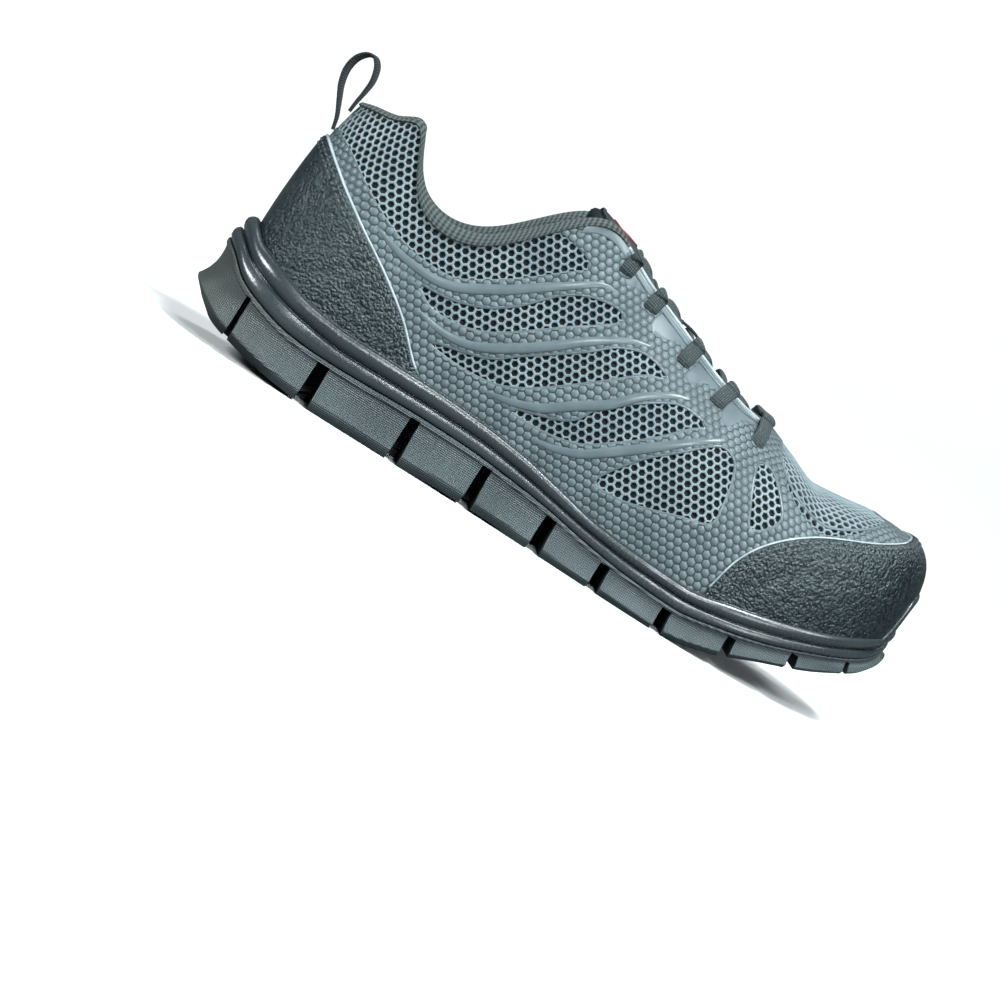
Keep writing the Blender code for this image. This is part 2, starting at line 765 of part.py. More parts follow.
def tongue_normal(x):
    slope = (ridge_height(x + .004) - ridge_height(x - .004)) / .008
    return Vector((-slope, 0, 1)).normalized()


def eyelet_place(number, inner):
    spot = eyelets[number]
    return place_on_side(spot.x * shoe_length, spot.z * upper_height, inner)


def edge_crossing(place, start, end):
    # Place of the ring where the throat's edge crosses the line between two points in plan
    def beside(t):
        edge = top_point(t)
        return (edge.x - start.x) * (end.y - start.y) - (edge.y - start.y) * (end.x - start.x)
    low, high = place - 2.2, place + 2.2
    if beside(low) > beside(high):
        return halving(lambda t: -beside(t), low, high)
    return halving(beside, low, high)


def to_the_edge(spot, far):
    # From an eyelet over the eyestay and onto the throat's edge, towards another point in plan
    rest = 2 * gap + lace_thickness / 2
    crossing = edge_crossing(spot[0], skin(*spot), far)
    line = []
    for i in range(3):
        t = spot[0] + (crossing - spot[0]) * i / 3
        s = spot[1] + (1 - spot[1]) * i / 3
        line.append((off_skin(t, s, rest), skin_normal(t, s)))
    normal = skin_normal(crossing, 1)
    lip = max(shape["roll"](crossing), thin_rim) * collar_roll
    line.append((top_point(crossing) + normal * (rest + lip + 3 * gap), normal))
    return line


def flat_lace(line):
    # Closed loops round a flat lace that follows points with their upward directions
    loops = []
    for i, (point, normal) in enumerate(line):
        along = line[min(i + 1, len(line) - 1)][0] - line[max(i - 1, 0)][0]
        side = normal.cross(along).normalized()
        up = along.cross(side).normalized()
        wide = side * lace_width / 2
        high = up * lace_thickness / 2
        loops.append([point - wide, point - wide * .7 + high, point + wide * .7 + high,
                      point + wide, point + wide * .7 - high, point - wide * .7 - high])
    return loops


def lace_across(start, end):
    # Straight bar from eyelet to eyelet over the front of the throat
    out_line = to_the_edge(start, skin(*end))
    in_line = to_the_edge(end, skin(*start))
    rest = 2 * gap + lace_thickness / 2
    middle = (out_line[-1][0] + in_line[-1][0]) / 2
    middle.z = top_point(crest_rows).z + thin_rim * collar_roll + rest
    return flat_lace(out_line + [(middle, Vector((0, 0, 1)))] + in_line[::-1])


def lace_over(start, end):
    # From one eyelet down over the tongue, to stop just before the far edge, where it dives
    rest = Vector((0, 0, 2 * gap + lace_thickness / 2))
    line = to_the_edge(start, skin(*end))
    near = top_point(edge_crossing(start[0], skin(*start), skin(*end)))
    far = top_point(edge_crossing(end[0], skin(*end), skin(*start)))
    for across in (-.5, 0, .5, .78):
        spot = near.lerp(far, (across + 1) / 2)
        line.append((on_tongue(spot.x, spot.y, across) + rest, tongue_normal(spot.x)))
    return flat_lace(line)


def hide_cutter(cutter):
    cutter.hide_render = True
    cutter.display_type = 'WIRE'


def boolean(piece, cutter, operation):
    change = piece.modifiers.new(operation.lower(), 'BOOLEAN')
    change.operation = operation
    change.solver = 'EXACT'
    change.object = cutter
    hide_cutter(cutter)


def make_laces():
    last = len(eyelets) - 1
    sweep("lace_bar", lace_across(eyelet_place(last, False), eyelet_place(last, True)), lace)
    for number in range(last):
        there = lace_over(eyelet_place(number, False), eyelet_place(number + 1, True))
        back = lace_over(eyelet_place(number, True), eyelet_place(number + 1, False))
        crossing = sweep("lace_cross_%d" % (number + 1), there, lace)
        other = sweep("lace_under_%d" % (number + 1), back, lace)
        boolean(crossing, other, 'UNION')


def cut_eyelets(piece):
    # Oval holes through the eyestays, square to the surface
    sides = 10
    for inner in (False, True):
        for number in range(len(eyelets)):
            t, s = eyelet_place(number, inner)
            middle = skin(t, s)
            normal = skin_normal(t, s)
            along = (top_point(t + .3) - top_point(t - .3)).normalized()
            along = (along - normal * along.dot(normal)).normalized()
            across = normal.cross(along)
            loops = []
            for depth in (-2 * wall, 2 * wall):
                loops.append([middle + normal * depth
                              + along * math.cos(turn) * eyelet_length / 2
                              + across * math.sin(turn) * eyelet_width / 2
                              for turn in [2 * math.pi * (i + .5) / sides for i in range(sides)]])
            side = "inner" if inner else "outer"
            cutter = sweep("eyelet_%s_%d" % (side, number + 1), loops, lace)
            boolean(piece, cutter, 'DIFFERENCE')


def cut_tread(piece):
    # Slots between the blocks, up to the web, and the long grooves
    half_width = foot_width
    for number, slot in enumerate(slots):
        x = slot.x * shoe_length
        wide = slot.width * slot_width / 2
        top = level["seam"](x) - web
        low = level["bottom"](x) - 4 * gap - groove_depth
        narrow = wide * slot_draft
        loops = []
        for y in (-half_width, half_width):
            loops.append([Vector((x - wide, y, low)), Vector((x - narrow, y, top)),
                          Vector((x + narrow, y, top)), Vector((x + wide, y, low))])
        boolean(piece, sweep("slot_%d" % (number + 1), loops, rubber), 'DIFFERENCE')
    for number, place in enumerate(groove_places):
        loops = []
        for i in range(25):
            x = shoe_length * (-.44 + .90 * i / 24)
            row = halving(lambda t: x - foot_point(t).x, 0, rows)
            middle = (foot_point(row).y + foot_point(around - row).y) / 2
            width = (foot_point(around - row).y - foot_point(row).y) / foot_width
            y = middle + place * foot_width * max(width, .5)
            bottom = level["bottom"](x)
            half = groove_width / 2
            loops.append([Vector((x, y - half, bottom - groove_depth)),
                          Vector((x, y - half * .7, bottom + groove_depth)),
                          Vector((x, y + half * .7, bottom + groove_depth)),
                          Vector((x, y + half, bottom - groove_depth))])
        boolean(piece, sweep("groove_%d" % (number + 1), loops, rubber), 'DIFFERENCE')


def make_keeper():
    # Webbing on the tongue between the second and the third crossing
    x = eyelets[2].x * shoe_length
    middle = (skin(*eyelet_place(2, False)).y + skin(*eyelet_place(2, True)).y) / 2
    half_throat = (top_point(9).y - top_point(around - 9).y) / 2
    loops = []
    for i in range(7):
        y = middle + keeper_width * (i / 6 - .5)
        loop = []
        for lift, way in ((gap, -1), (gap + strap_thickness, -1), (gap + strap_thickness, 1), (gap, 1)):
            place = x + way * keeper_length / 2
            point = on_tongue(place, y, (y - middle) / half_throat)
            loop.append(point + tongue_normal(x) * lift)
        loops.append(loop)
    return sweep("lace_keeper", loops, webbing)


def make_pull_loop():
    # Strap sewn to the heel, up, over and down again
    t = rows
    low = top_point(t).z - loop_seam * loop_height
    share = share_at_height(t, low)
    seat = off_skin(t, share, gap + strap_thickness / 2)
    knots = range(len(loop_path))
    back = smooth_table(knots, [point.back * loop_height for point in loop_path])
    up = smooth_table(knots, [point.up * loop_height for point in loop_path])
    steps = 24
    path = []
    for i in range(steps + 1):
        place = (len(loop_path) - 1) * i / steps
        path.append(seat + Vector((-back(place), 0, up(place))))
    loops = []
    half = Vector((0, strap_width / 2, 0))
    for i, point in enumerate(path):
        along = path[min(i + 1, steps)] - path[max(i - 1, 0)]
        thick = half.cross(along).normalized() * strap_thickness / 2
        loops.append([point - half - thick, point + half - thick,
                      point + half + thick, point - half + thick])
    return sweep("pull_loop", loops, webbing)


for old in list(bpy.data.objects):
    bpy.data.objects.remove(old)
shoe = bpy.data.objects.new("shoe", None)
bpy.context.scene.collection.objects.link(shoe)

rubber = material("moulded rubber", (.030, .033, .035), .55)
foam = material("moulded foam", (.040, .044, .046), .6)
knit = material("film on mesh", (.065, .072, .075), .5)
leather = material("grained leather", (.012, .013, .014), .35)
sock = material("sock cloth", (.02, .02, .021), .95)
tongue_cloth = material("tongue mesh", (.022, .024, .026), .85)
film = material("smooth film", (.085, .094, .098), .4)
lace = material("braided lace", (.028, .031, .032), .9)
webbing = material("woven webbing", (.015, .016, .017), .85)

outsole = make_outsole()
cut_tread(outsole)
make_midsole()
make_insole()
upper = make_upper()
cut_eyelets(upper)
make_toe_cap()
make_counter()
for number, path in enumerate(waves):
    make_wave("wave_lateral_%d" % (number + 1), path, False)
    make_wave("wave_medial_%d" % (number + 1), path, True)
make_tongue()
ridge_height, side_height = throat_tables()
make_keeper()
make_laces()
make_pull_loop()

# The shoe stands with the middle of its own box over the origin
bpy.context.view_layer.update()
corners = [vertex.co for piece in shoe.children if not piece.hide_render
           for vertex in piece.data.vertices]
low = [min(corner[i] for corner in corners) for i in range(3)]
high = [max(corner[i] for corner in corners) for i in range(3)]
shoe.location = (-(low[0] + high[0]) / 2, -(low[1] + high[1]) / 2, -low[2])
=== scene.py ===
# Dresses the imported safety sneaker. Camera and light come first, then the sole, the upper and its trim.
# Lengths are in metres, and a name ending in Mm is in millimetres. +X points to the toe, -Y to the
# outer side of the foot and +Z up from the floor.
import math
from collections import namedtuple

import bmesh
import bpy
import numpy as np
from mathutils import Matrix, Vector
from mathutils.bvhtree import BVHTree
from mathutils.kdtree import KDTree


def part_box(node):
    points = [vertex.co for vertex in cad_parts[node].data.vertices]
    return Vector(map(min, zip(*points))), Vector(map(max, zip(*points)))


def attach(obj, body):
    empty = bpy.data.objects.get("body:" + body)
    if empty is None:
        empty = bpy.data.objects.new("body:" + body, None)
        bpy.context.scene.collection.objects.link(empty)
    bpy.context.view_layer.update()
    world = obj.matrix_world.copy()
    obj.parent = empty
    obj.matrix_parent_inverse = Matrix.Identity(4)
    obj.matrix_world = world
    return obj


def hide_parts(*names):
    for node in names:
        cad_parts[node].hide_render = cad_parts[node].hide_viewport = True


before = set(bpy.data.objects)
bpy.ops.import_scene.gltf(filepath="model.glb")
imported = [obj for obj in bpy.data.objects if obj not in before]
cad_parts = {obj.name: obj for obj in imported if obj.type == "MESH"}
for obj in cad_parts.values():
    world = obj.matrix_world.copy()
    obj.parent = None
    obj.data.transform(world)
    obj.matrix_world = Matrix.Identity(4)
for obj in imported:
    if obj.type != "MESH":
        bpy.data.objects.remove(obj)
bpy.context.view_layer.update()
print("frame loaded")

mm = .001

# The last that the shoe is built on, with the same sizes as the solids
last = {
    "length": .302, "width": .1005, "height": .118, "soleHeight": .047,
    "wall": .003, "collarPad": .009, "collarRoll": .0046, "gap": .00035,
    "soleFlare": .006, "heelRake": .0065, "randLip": .002, "bumperHeight": .0175,
    "toeSlope": .07, "padStart": .35, "padFull": .85, "thinRim": .2, "bumperRows": 1.6,
}
rows = 20            # sections from the toe, 0, to the heel, 20
around = 2 * rows    # and back along the inner side
crestRows = 6        # closed over the foot up to this section

# Sections of the last: a foot point on the feather line, a top point on the crest, throat or
# collar, and the curve between them. x in shares of the length, out and inn of the width, z of
# the height; roll and pad are shares of the collar's roll and padding.
Section = namedtuple("Section", "footX footOut footIn topX topOut topIn topZ "
                                "rise bulge reach drop roll pad")
sections = [
    Section(.4885, .040, .040, .364, .030, .030, .6640, 1.04, .023, .57, 0, .2, .33),
    Section(.4780, -.139, .209, .364, .030, .030, .6640, 1.03, .025, .56, 0, .2, .33),
    Section(.4500, -.274, .328, .361, .025, .025, .6635, 1.02, .028, .53, 0, .2, .33),
    Section(.4040, -.378, .418, .344, .020, .020, .6570, .99, .030, .51, 0, .2, .33),
    Section(.3410, -.458, .473, .305, .015, .015, .6490, .92, .030, .47, 0, .2, .33),
    Section(.2780, -.502, .488, .258, .010, .010, .6910, .85, .030, .41, 1, .2, .33),
    Section(.2220, -.512, .473, .217, .010, .010, .7310, .78, .032, .36, 4, .2, .33),
    Section(.1890, -.502, .453, .2035, -.139, .159, .7290, .72, .034, .30, 14, .2, .33),
    Section(.1520, -.488, .423, .1655, -.224, .244, .7420, .66, .034, .29, 24, .2, .33),
    Section(.0930, -.453, .373, .106, -.229, .249, .7880, .58, .030, .28, 34, .2, .33),
    Section(.0265, -.413, .333, .040, -.229, .249, .8560, .50, .025, .28, 45, .2, .33),
    Section(-.046, -.378, .303, -.033, -.239, .259, .9340, .42, .022, .28, 58, .3, .36),
    Section(-.1125, -.358, .303, -.099, -.279, .289, .9960, .38, .020, .28, 72, .6, .55),
    Section(-.169, -.348, .313, -.159, -.318, .323, .8820, .36, .018, .28, 84, 1, 1),
    Section(-.222, -.346, .323, -.2185, -.328, .333, .7420, .36, .015, .30, 88, 1, 1),
    Section(-.275, -.343, .333, -.278, -.318, .328, .7070, .36, .014, .30, 86, 1, 1),
    Section(-.328, -.333, .333, -.328, -.279, .289, .7880, .34, .012, .28, 80, .95, .95),
    Section(-.3775, -.308, .313, -.359, -.239, .249, .9340, .32, .011, .26, 76, .7, .9),
    Section(-.4205, -.239, .249, -.3875, -.184, .194, .9240, .30, .010, .25, 73, .55, .9),
    Section(-.4500, -.129, .144, -.4205, -.104, .114, .9070, .30, .010, .245, 71, .55, .9),
    Section(-.4586, .010, .010, -.4385, .010, .010, .8970, .30, .010, .245, 71, .55, .9),
]

# Heights of the sole's lines: x in shares of the length, the others of the sole's height
SoleLine = namedtuple("SoleLine", "x rand groove seam feather bottom")
soleLines = [
    SoleLine(-.500, 1.130, 1.000, .840, .860, .298),
    SoleLine(-.4735, 1.060, .860, .730, .790, .205),
    SoleLine(-.4490, .930, .745, .600, .660, .145),
    SoleLine(-.4240, .870, .680, .530, .600, .112),
    SoleLine(-.3610, .738, .583, .428, .560, .045),
    SoleLine(-.3210, .705, .548, .411, .543, .019),
    SoleLine(-.2980, .696, .536, .411, .543, 0),
    SoleLine(-.1690, .694, .538, .432, .543, 0),
    SoleLine(-.1060, .670, .532, .428, .532, .017),
    SoleLine(-.0430, .630, .496, .400, .511, .017),
    SoleLine(.0200, .555, .436, .360, .468, 0),
    SoleLine(.0830, .477, .379, .296, .415, 0),
    SoleLine(.1460, .451, .345, .253, .351, 0),
    SoleLine(.2120, .440, .334, .236, .319, 0),
    SoleLine(.2750, .517, .379, .294, .368, .072),
    SoleLine(.3380, .606, .470, .381, .447, .216),
    SoleLine(.4010, .715, .591, .511, .596, .351),
    SoleLine(.4370, .798, .677, .589, .681, .447),
    SoleLine(.4635, .868, .749, .660, .772, .521),
    SoleLine(.4900, .957, .860, .770, .862, .650),
    SoleLine(.5000, 1.000, .900, .800, .900, .740),
]


def unit(vectors):
    return vectors / np.maximum(np.linalg.norm(vectors, axis=-1, keepdims=True), 1e-12)


def points3(x, y, z):
    return np.stack(np.broadcast_arrays(x, y, z), -1).astype(float)


def easeStep(value):
    value = np.clip(value, 0, 1)
    return value * value * (3 - 2 * value)


def closedSpline(values):
    # smooth closed curve through evenly numbered values
    values = np.array(values, float)
    count = len(values)
    system = 4 * np.eye(count) + np.roll(np.eye(count), 1, 0) + np.roll(np.eye(count), -1, 0)
    curve = np.linalg.solve(system, 6 * (np.roll(values, 1) - 2 * values + np.roll(values, -1)))

    def at(place):
        place = np.asarray(place, float)
        first = np.floor(place).astype(int)
        part = place - first
        here, after, back = first % count, (first + 1) % count, 1 - part
        bow = (back ** 3 - back) * curve[here] + (part ** 3 - part) * curve[after]
        return back * values[here] + part * values[after] + bow / 6
    return at


def smoothTable(knots, values):
    # curve through a table that never swings past its values, flat beyond both ends
    knots = np.array(knots, float)
    values = np.array(values, float)
    step = np.diff(knots)
    slope = np.diff(values) / step
    tangent = np.zeros(len(knots))
    tangent[0], tangent[-1] = slope[0], slope[-1]
    for i in range(1, len(knots) - 1):
        if slope[i - 1] * slope[i] > 0:
            before, after = 2 * step[i] + step[i - 1], step[i] + 2 * step[i - 1]
            tangent[i] = (before + after) / (before / slope[i - 1] + after / slope[i])

    def at(x):
        x = np.clip(np.asarray(x, float), knots[0], knots[-1])
        i = np.clip(np.searchsorted(knots, x) - 1, 0, len(step) - 1)
        u = (x - knots[i]) / step[i]
        start = (1 + 2 * u) * (1 - u) ** 2 * values[i] + u * (1 - u) ** 2 * step[i] * tangent[i]
        end = u * u * (3 - 2 * u) * values[i + 1] + u * u * (u - 1) * step[i] * tangent[i + 1]
        return start + end
    return at


def ringTable(outer, inner, first=0):
    # round the ring: the outer values from toe to heel, then the inner ones back
    there = [getattr(section, outer) for section in sections[first:]]
    back = [getattr(section, inner) for section in sections[-2:first:-1]]
    return closedSpline(there + back)


def crestTable(field):
    front = [getattr(section, field) for section in sections[:crestRows + 1]]
    return smoothTable(range(crestRows + 1), front)


footX, footY = ringTable("footX", "footX"), ringTable("footOut", "footIn")
edgeX = ringTable("topX", "topX", crestRows)
edgeY = ringTable("topOut", "topIn", crestRows)
edgeZ = ringTable("topZ", "topZ", crestRows)
crestX, crestY, crestZ = crestTable("topX"), crestTable("topOut"), crestTable("topZ")
shape = {name: ringTable(name, name) for name in ("rise", "bulge", "reach", "drop", "roll", "pad")}
level = {name: smoothTable([line.x * last["length"] for line in soleLines],
                           [getattr(line, name) * last["soleHeight"] for line in soleLines])
         for name in ("rand", "groove", "seam", "feather", "bottom")}


def rowOf(t):
    t = np.mod(t, around)
    return np.minimum(t, around - t)


def footPoint(t):
    t = np.asarray(t, float)
    x = footX(np.mod(t, around)) * last["length"]
    return points3(x, footY(np.mod(t, around)) * last["width"], level["feather"](x))


def outward(t):
    t = np.asarray(t, float)
    along = footPoint(t + .05) - footPoint(t - .05)
    return unit(points3(-along[..., 1], along[..., 0], 0))


def topPoint(t):
    t = np.mod(np.asarray(t, float), around)
    row = rowOf(t)
    front = row <= crestRows
    place = np.mod(t - crestRows, around - 2 * crestRows)
    x = np.where(front, crestX(row), edgeX(place)) * last["length"]
    y = np.where(front, crestY(row), edgeY(place)) * last["width"]
    z = np.where(front, crestZ(row), edgeZ(place)) * last["height"]
    return points3(x, y, z)


def crestSlope(t):
    row = rowOf(t)
    ahead, behind = np.minimum(row + .3, crestRows), np.maximum(row - .3, 1)
    run = (crestX(ahead) - crestX(behind)) * last["length"]
    flat = np.abs(run) < 1e-5
    slope = (crestZ(ahead) - crestZ(behind)) * last["height"] / np.where(flat, 1, run)
    return np.where(row > crestRows, 0, np.where(flat, last["toeSlope"], slope))


def meridianPoints(t):
    # the four control points of the curve from the feather line to the top edge
    foot, top, out = footPoint(t), topPoint(t), outward(t)
    place = np.mod(t, around)
    first = foot + out * (shape["bulge"](place) * last["width"])[:, None]
    first[:, 2] += shape["rise"](place) * (top[:, 2] - foot[:, 2])
    drop = np.radians(shape["drop"](place))
    handle = out * np.cos(drop)[:, None]
    handle[:, 2] = crestSlope(t) * handle[:, 0] - np.sin(drop)
    reach = shape["reach"](place) * np.linalg.norm(top - foot, axis=1)
    return foot, first, top + handle * reach[:, None], top


stepT = .02
overlapT = 1.0
tableT = np.arange(-rows - overlapT, rows + overlapT + stepT / 2, stepT)
controls = meridianPoints(tableT)

# The solids stand with the middle of their box over the origin; the insole shows by how much
insoleEdge = footPoint(tableT) - outward(tableT) * (last["wall"] + last["gap"])
shift = np.array(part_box("insole")[0]) - insoleEdge.min(0)
shift[2] = 0
controls = [table + shift for table in controls]


def skin(t, s):
    # the upper's outer face: t round the foot, below 0 on the inner side, s from 0 at the sole to 1
    t, s = np.broadcast_arrays(np.asarray(t, float), np.asarray(s, float))
    place = (t - tableT[0]) / stepT
    first = np.clip(place.astype(int), 0, len(tableT) - 2)
    part = (place - first)[..., None]
    a, b, c, d = (table[first] * (1 - part) + table[first + 1] * part for table in controls)
    s = s[..., None]
    r = 1 - s
    return a * r ** 3 + 3 * b * r * r * s + 3 * c * r * s * s + d * s ** 3


def skinNormal(t, s):
    t, s = np.broadcast_arrays(np.asarray(t, float), np.asarray(s, float))
    upward = skin(t, np.minimum(s + .02, 1)) - skin(t, np.maximum(s - .02, 0))
    low = np.clip(s, 0, .97)
    across = skin(t + .08, low) - skin(t - .08, low)
    normal = unit(np.cross(upward, across))
    crest = unit(points3(-crestSlope(t), 0, 1))
    top = easeStep((s - .93) / .07)[..., None] * (rowOf(t) <= crestRows)[..., None]
    return unit(normal * (1 - top) + crest * top)


def offSkin(t, s, distance):
    distance = np.asarray(distance, float)
    return skin(t, s) + skinNormal(t, s) * distance[..., None]


def halving(function, low, high, turns=26):
    # where an ever growing function crosses zero, for a whole array at once
    low, high = np.array(low, float), np.array(high, float)
    for _ in range(turns):
        middle = (low + high) / 2
        below = function(middle) < 0
        low, high = np.where(below, middle, low), np.where(below, high, middle)
    return (low + high) / 2


def shareAtHeight(t, height):
    t = np.asarray(t, float)
    return halving(lambda s: skin(t, s)[..., 2] - height, 0 * t, 0 * t + 1)


def shareAtLine(t, line):
    # line gives a height for every x, as seen from the side
    t = np.asarray(t, float)

    def above(s):
        point = skin(t, s)
        return point[..., 2] - line(point[..., 0] - shift[0])
    return halving(above, 0 * t, 0 * t + 1)


def wallAt(t, s):
    climb = easeStep((s - last["padStart"]) / (last["padFull"] - last["padStart"]))
    pad = np.maximum(shape["pad"](np.mod(t, around)) * last["collarPad"], last["wall"])
    return last["wall"] + (pad - last["wall"]) * climb


# A dense net of the skin, to find the place of any point near it
netT, netS = np.meshgrid(np.linspace(-rows, rows, 401), np.linspace(0, 1, 61), indexing="ij")
netPoints = skin(netT, netS)
netTree = KDTree(netT.size)
for number, point in enumerate(netPoints.reshape(-1, 3)):
    netTree.insert(point, number)
netTree.balance()


def onSkin(points):
    # place and share of the skin below each point
    points = np.asarray(points, float).reshape(-1, 3)
    nearest = [netTree.find(point)[1] for point in points]
    t, s = netT.reshape(-1)[nearest], netS.reshape(-1)[nearest]
    for _ in range(4):
        miss = points - skin(t, s)
        byT = (skin(t + .02, s) - skin(t - .02, s)) / .04
        byS = (skin(t, np.minimum(s + .01, 1)) - skin(t, np.maximum(s - .01, 0)))
        byS = byS / (np.minimum(s + .01, 1) - np.maximum(s - .01, 0))[:, None]
        tt, ts, ss = (byT * byT).sum(1), (byT * byS).sum(1), (byS * byS).sum(1)
        mt, ms = (miss * byT).sum(1), (miss * byS).sum(1)
        grid = np.maximum(tt * ss - ts * ts, 1e-16)
        t = np.clip(t + np.clip((mt * ss - ms * ts) / grid, -.5, .5), -rows, rows)
        s = np.clip(s + np.clip((ms * tt - mt * ts) / grid, -.1, .1), 0, 1)
    return t, s


def settle(goal, at, t, s, turns, reach, most, tiny, edge=rows):
    # moves places and shares until at gives the two goal values of every point
    def cross(a, b):
        return a[:, 0] * b[:, 1] - a[:, 1] * b[:, 0]

    for _ in range(turns):
        miss = goal - at(t, s)
        ahead, behind = np.minimum(t + reach, edge), np.maximum(t - reach, -edge)
        up, down = np.minimum(s + .01, 1), np.maximum(s - .01, 0)
        byT = (at(ahead, s) - at(behind, s)) / (ahead - behind)[:, None]
        byS = (at(t, up) - at(t, down)) / (up - down)[:, None]
        grid = cross(byT, byS)
        grid = np.where(np.abs(grid) < tiny, tiny, grid)
        t = np.clip(t + np.clip(cross(miss, byS) / grid, -most[0], most[0]), -rows, rows)
        s = np.clip(s + np.clip(cross(byT, miss) / grid, -most[1], most[1]), 0, 1)
    return t, s


def onSide(x, z, inner):
    # place and share of the skin where a side view shows the points x, z
    half = ((netT < 0) if inner else (netT > 0)) & (netS > .02) & (netS < .99)
    seen = netPoints[half][:, [0, 2]]
    goal = np.stack([np.asarray(x, float) + shift[0], np.asarray(z, float)], 1)
    nearest = [int(np.argmin(((seen - spot) ** 2).sum(1))) for spot in goal]
    return settle(goal, lambda t, s: skin(t, s)[:, [0, 2]], netT[half][nearest], netS[half][nearest],
                  turns=6, reach=.02, most=(.4, .08), tiny=1e-9, edge=rows + 1)

# Tools for materials, Geometry Nodes and meshes

def rgb(text):
    # an sRGB hex colour turned linear
    values = [int(text[i:i + 2], 16) / 255 for i in (1, 3, 5)]
    line = [v / 12.92 if v <= .04045 else ((v + .055) / 1.055) ** 2.4 for v in values]
    return (*line, 1)


def addNode(tree, kind, inputs=None, **settings):
    # one node with its settings; each input, by name or number, takes a value, a colour or a source
    node = tree.nodes.new(kind)
    for name, value in settings.items():
        setattr(node, name, value)
    for key, source in (inputs or {}).items():
        source = source.outputs[0] if hasattr(source, "outputs") else source
        if isinstance(source, bpy.types.NodeSocket):
            tree.links.new(source, node.inputs[key])
        else:
            isColour = isinstance(source, str) and source.startswith("#")
            node.inputs[key].default_value = rgb(source) if isColour else source
    return node


def newMaterial(name, colour, roughness, specular=.5, sheen=0.0):
    made = bpy.data.materials.new(name)
    made.use_nodes = True
    shader = made.node_tree.nodes["Principled BSDF"]
    for key, value in (("Base Color", rgb(colour)), ("Roughness", roughness),
                       ("Specular IOR Level", specular), ("Sheen Weight", sheen)):
        shader.inputs[key].default_value = value
    return made, made.node_tree, shader


def colourBy(tree, shader, pattern, dark, pale, low=.3, high=.7, most=1.0):
    # colours the surface from dark to pale as the pattern climbs from low to high
    share = addNode(tree, "ShaderNodeMapRange",
                    {"Value": pattern, "From Min": low, "From Max": high, "To Max": most})
    mixed = addNode(tree, "ShaderNodeMix", {0: share, 6: dark, 7: pale}, data_type="RGBA")
    tree.links.new(mixed.outputs[2], shader.inputs["Base Color"])
    return mixed.outputs[2]


def glossBy(tree, shader, pattern, low, high):
    # roughness from low to high with the pattern
    rough = addNode(tree, "ShaderNodeMapRange",
                    {"Value": pattern, "From Min": .3, "From Max": .7, "To Min": low, "To Max": high})
    tree.links.new(rough.outputs[0], shader.inputs["Roughness"])


def raiseBy(tree, shader, pattern, riseMm, strength):
    # raises the surface by the pattern, on top of what raises it already
    bump = addNode(tree, "ShaderNodeBump",
                   {"Height": pattern, "Distance": riseMm * mm, "Strength": strength})
    for link in list(shader.inputs["Normal"].links):
        tree.links.new(link.from_socket, bump.inputs["Normal"])
    tree.links.new(bump.outputs[0], shader.inputs["Normal"])
    return bump


def blobs(place, sizeMm, detail=3, roughness=.5):
    # what a noise node needs for clouds with blobs of about this size
    return {"Vector": place, "Scale": 1000 / sizeMm, "Detail": detail, "Roughness": roughness}


def rowsAlong(tree, place, direction, pitchMm, wave="SINE"):
    # an even wave that runs along a direction of the surface, this far from crest to crest
    turn = 2 * math.pi * 1000 / pitchMm
    run = addNode(tree, "ShaderNodeVectorMath", {0: place, 1: [turn * part for part in direction]},
                  operation="DOT_PRODUCT")
    return addNode(tree, "ShaderNodeMath", {0: run.outputs["Value"]}, operation=wave)


def grained(name, pale, roughness, dark=None, cloud=None, grain=None, gloss=None, rise=None,
            low=.3, specular=.5, sheen=0.0):
    # a finish that goes from dark to pale in clouds, with a grain in its gloss and its relief; cloud
    # and grain give a size in mm, a detail and a roughness, and rise a height in mm and a strength
    made, tree, shader = newMaterial(name, pale, roughness, specular, sheen)
    place = addNode(tree, "ShaderNodeTexCoord").outputs["Object"]
    cloudy, grainy = (addNode(tree, "ShaderNodeTexNoise", blobs(place, *pattern)) if pattern else None
                      for pattern in (cloud, grain))
    if dark:
        colourBy(tree, shader, cloudy, dark, pale, low)
    if gloss:
        glossBy(tree, shader, grainy or cloudy, *gloss)
    if rise:
        raiseBy(tree, shader, grainy or cloudy, *rise)
    return made


def newTree(name, sizes):
    # a Geometry Nodes tree with a named input for each size, and their values by identifier
    tree = bpy.data.node_groups.new(name, "GeometryNodeTree")
    tree.interface.new_socket(name="Geometry", in_out="INPUT", socket_type="NodeSocketGeometry")
    inputs = {}
    for label, value in sizes.items():
        socket = tree.interface.new_socket(name=label, in_out="INPUT", socket_type="NodeSocketFloat")
        socket.default_value = value
        inputs[socket.identifier] = value
    tree.interface.new_socket(name="Geometry", in_out="OUTPUT", socket_type="NodeSocketGeometry")
    return tree, inputs, addNode(tree, "NodeGroupInput"), addNode(tree, "NodeGroupOutput")


def freezeMesh(piece):
    # turns what the modifiers make into a plain mesh
    sight = bpy.context.evaluated_depsgraph_get()
    mesh = bpy.data.meshes.new_from_object(piece.evaluated_get(sight))
    piece.modifiers.clear()
    piece.data = mesh
    return mesh


def runTree(piece, tree, inputs):
    # puts the tree on the piece and sets its inputs by identifier before it is evaluated
    change = piece.modifiers.new(tree.name, "NODES")
    change.node_group = tree
    for identifier, value in inputs.items():
        change[identifier] = value
    freezeMesh(piece).name = piece.name


def newObject(name, data):
    made = bpy.data.objects.new(name, data)
    bpy.context.scene.collection.objects.link(made)
    return made


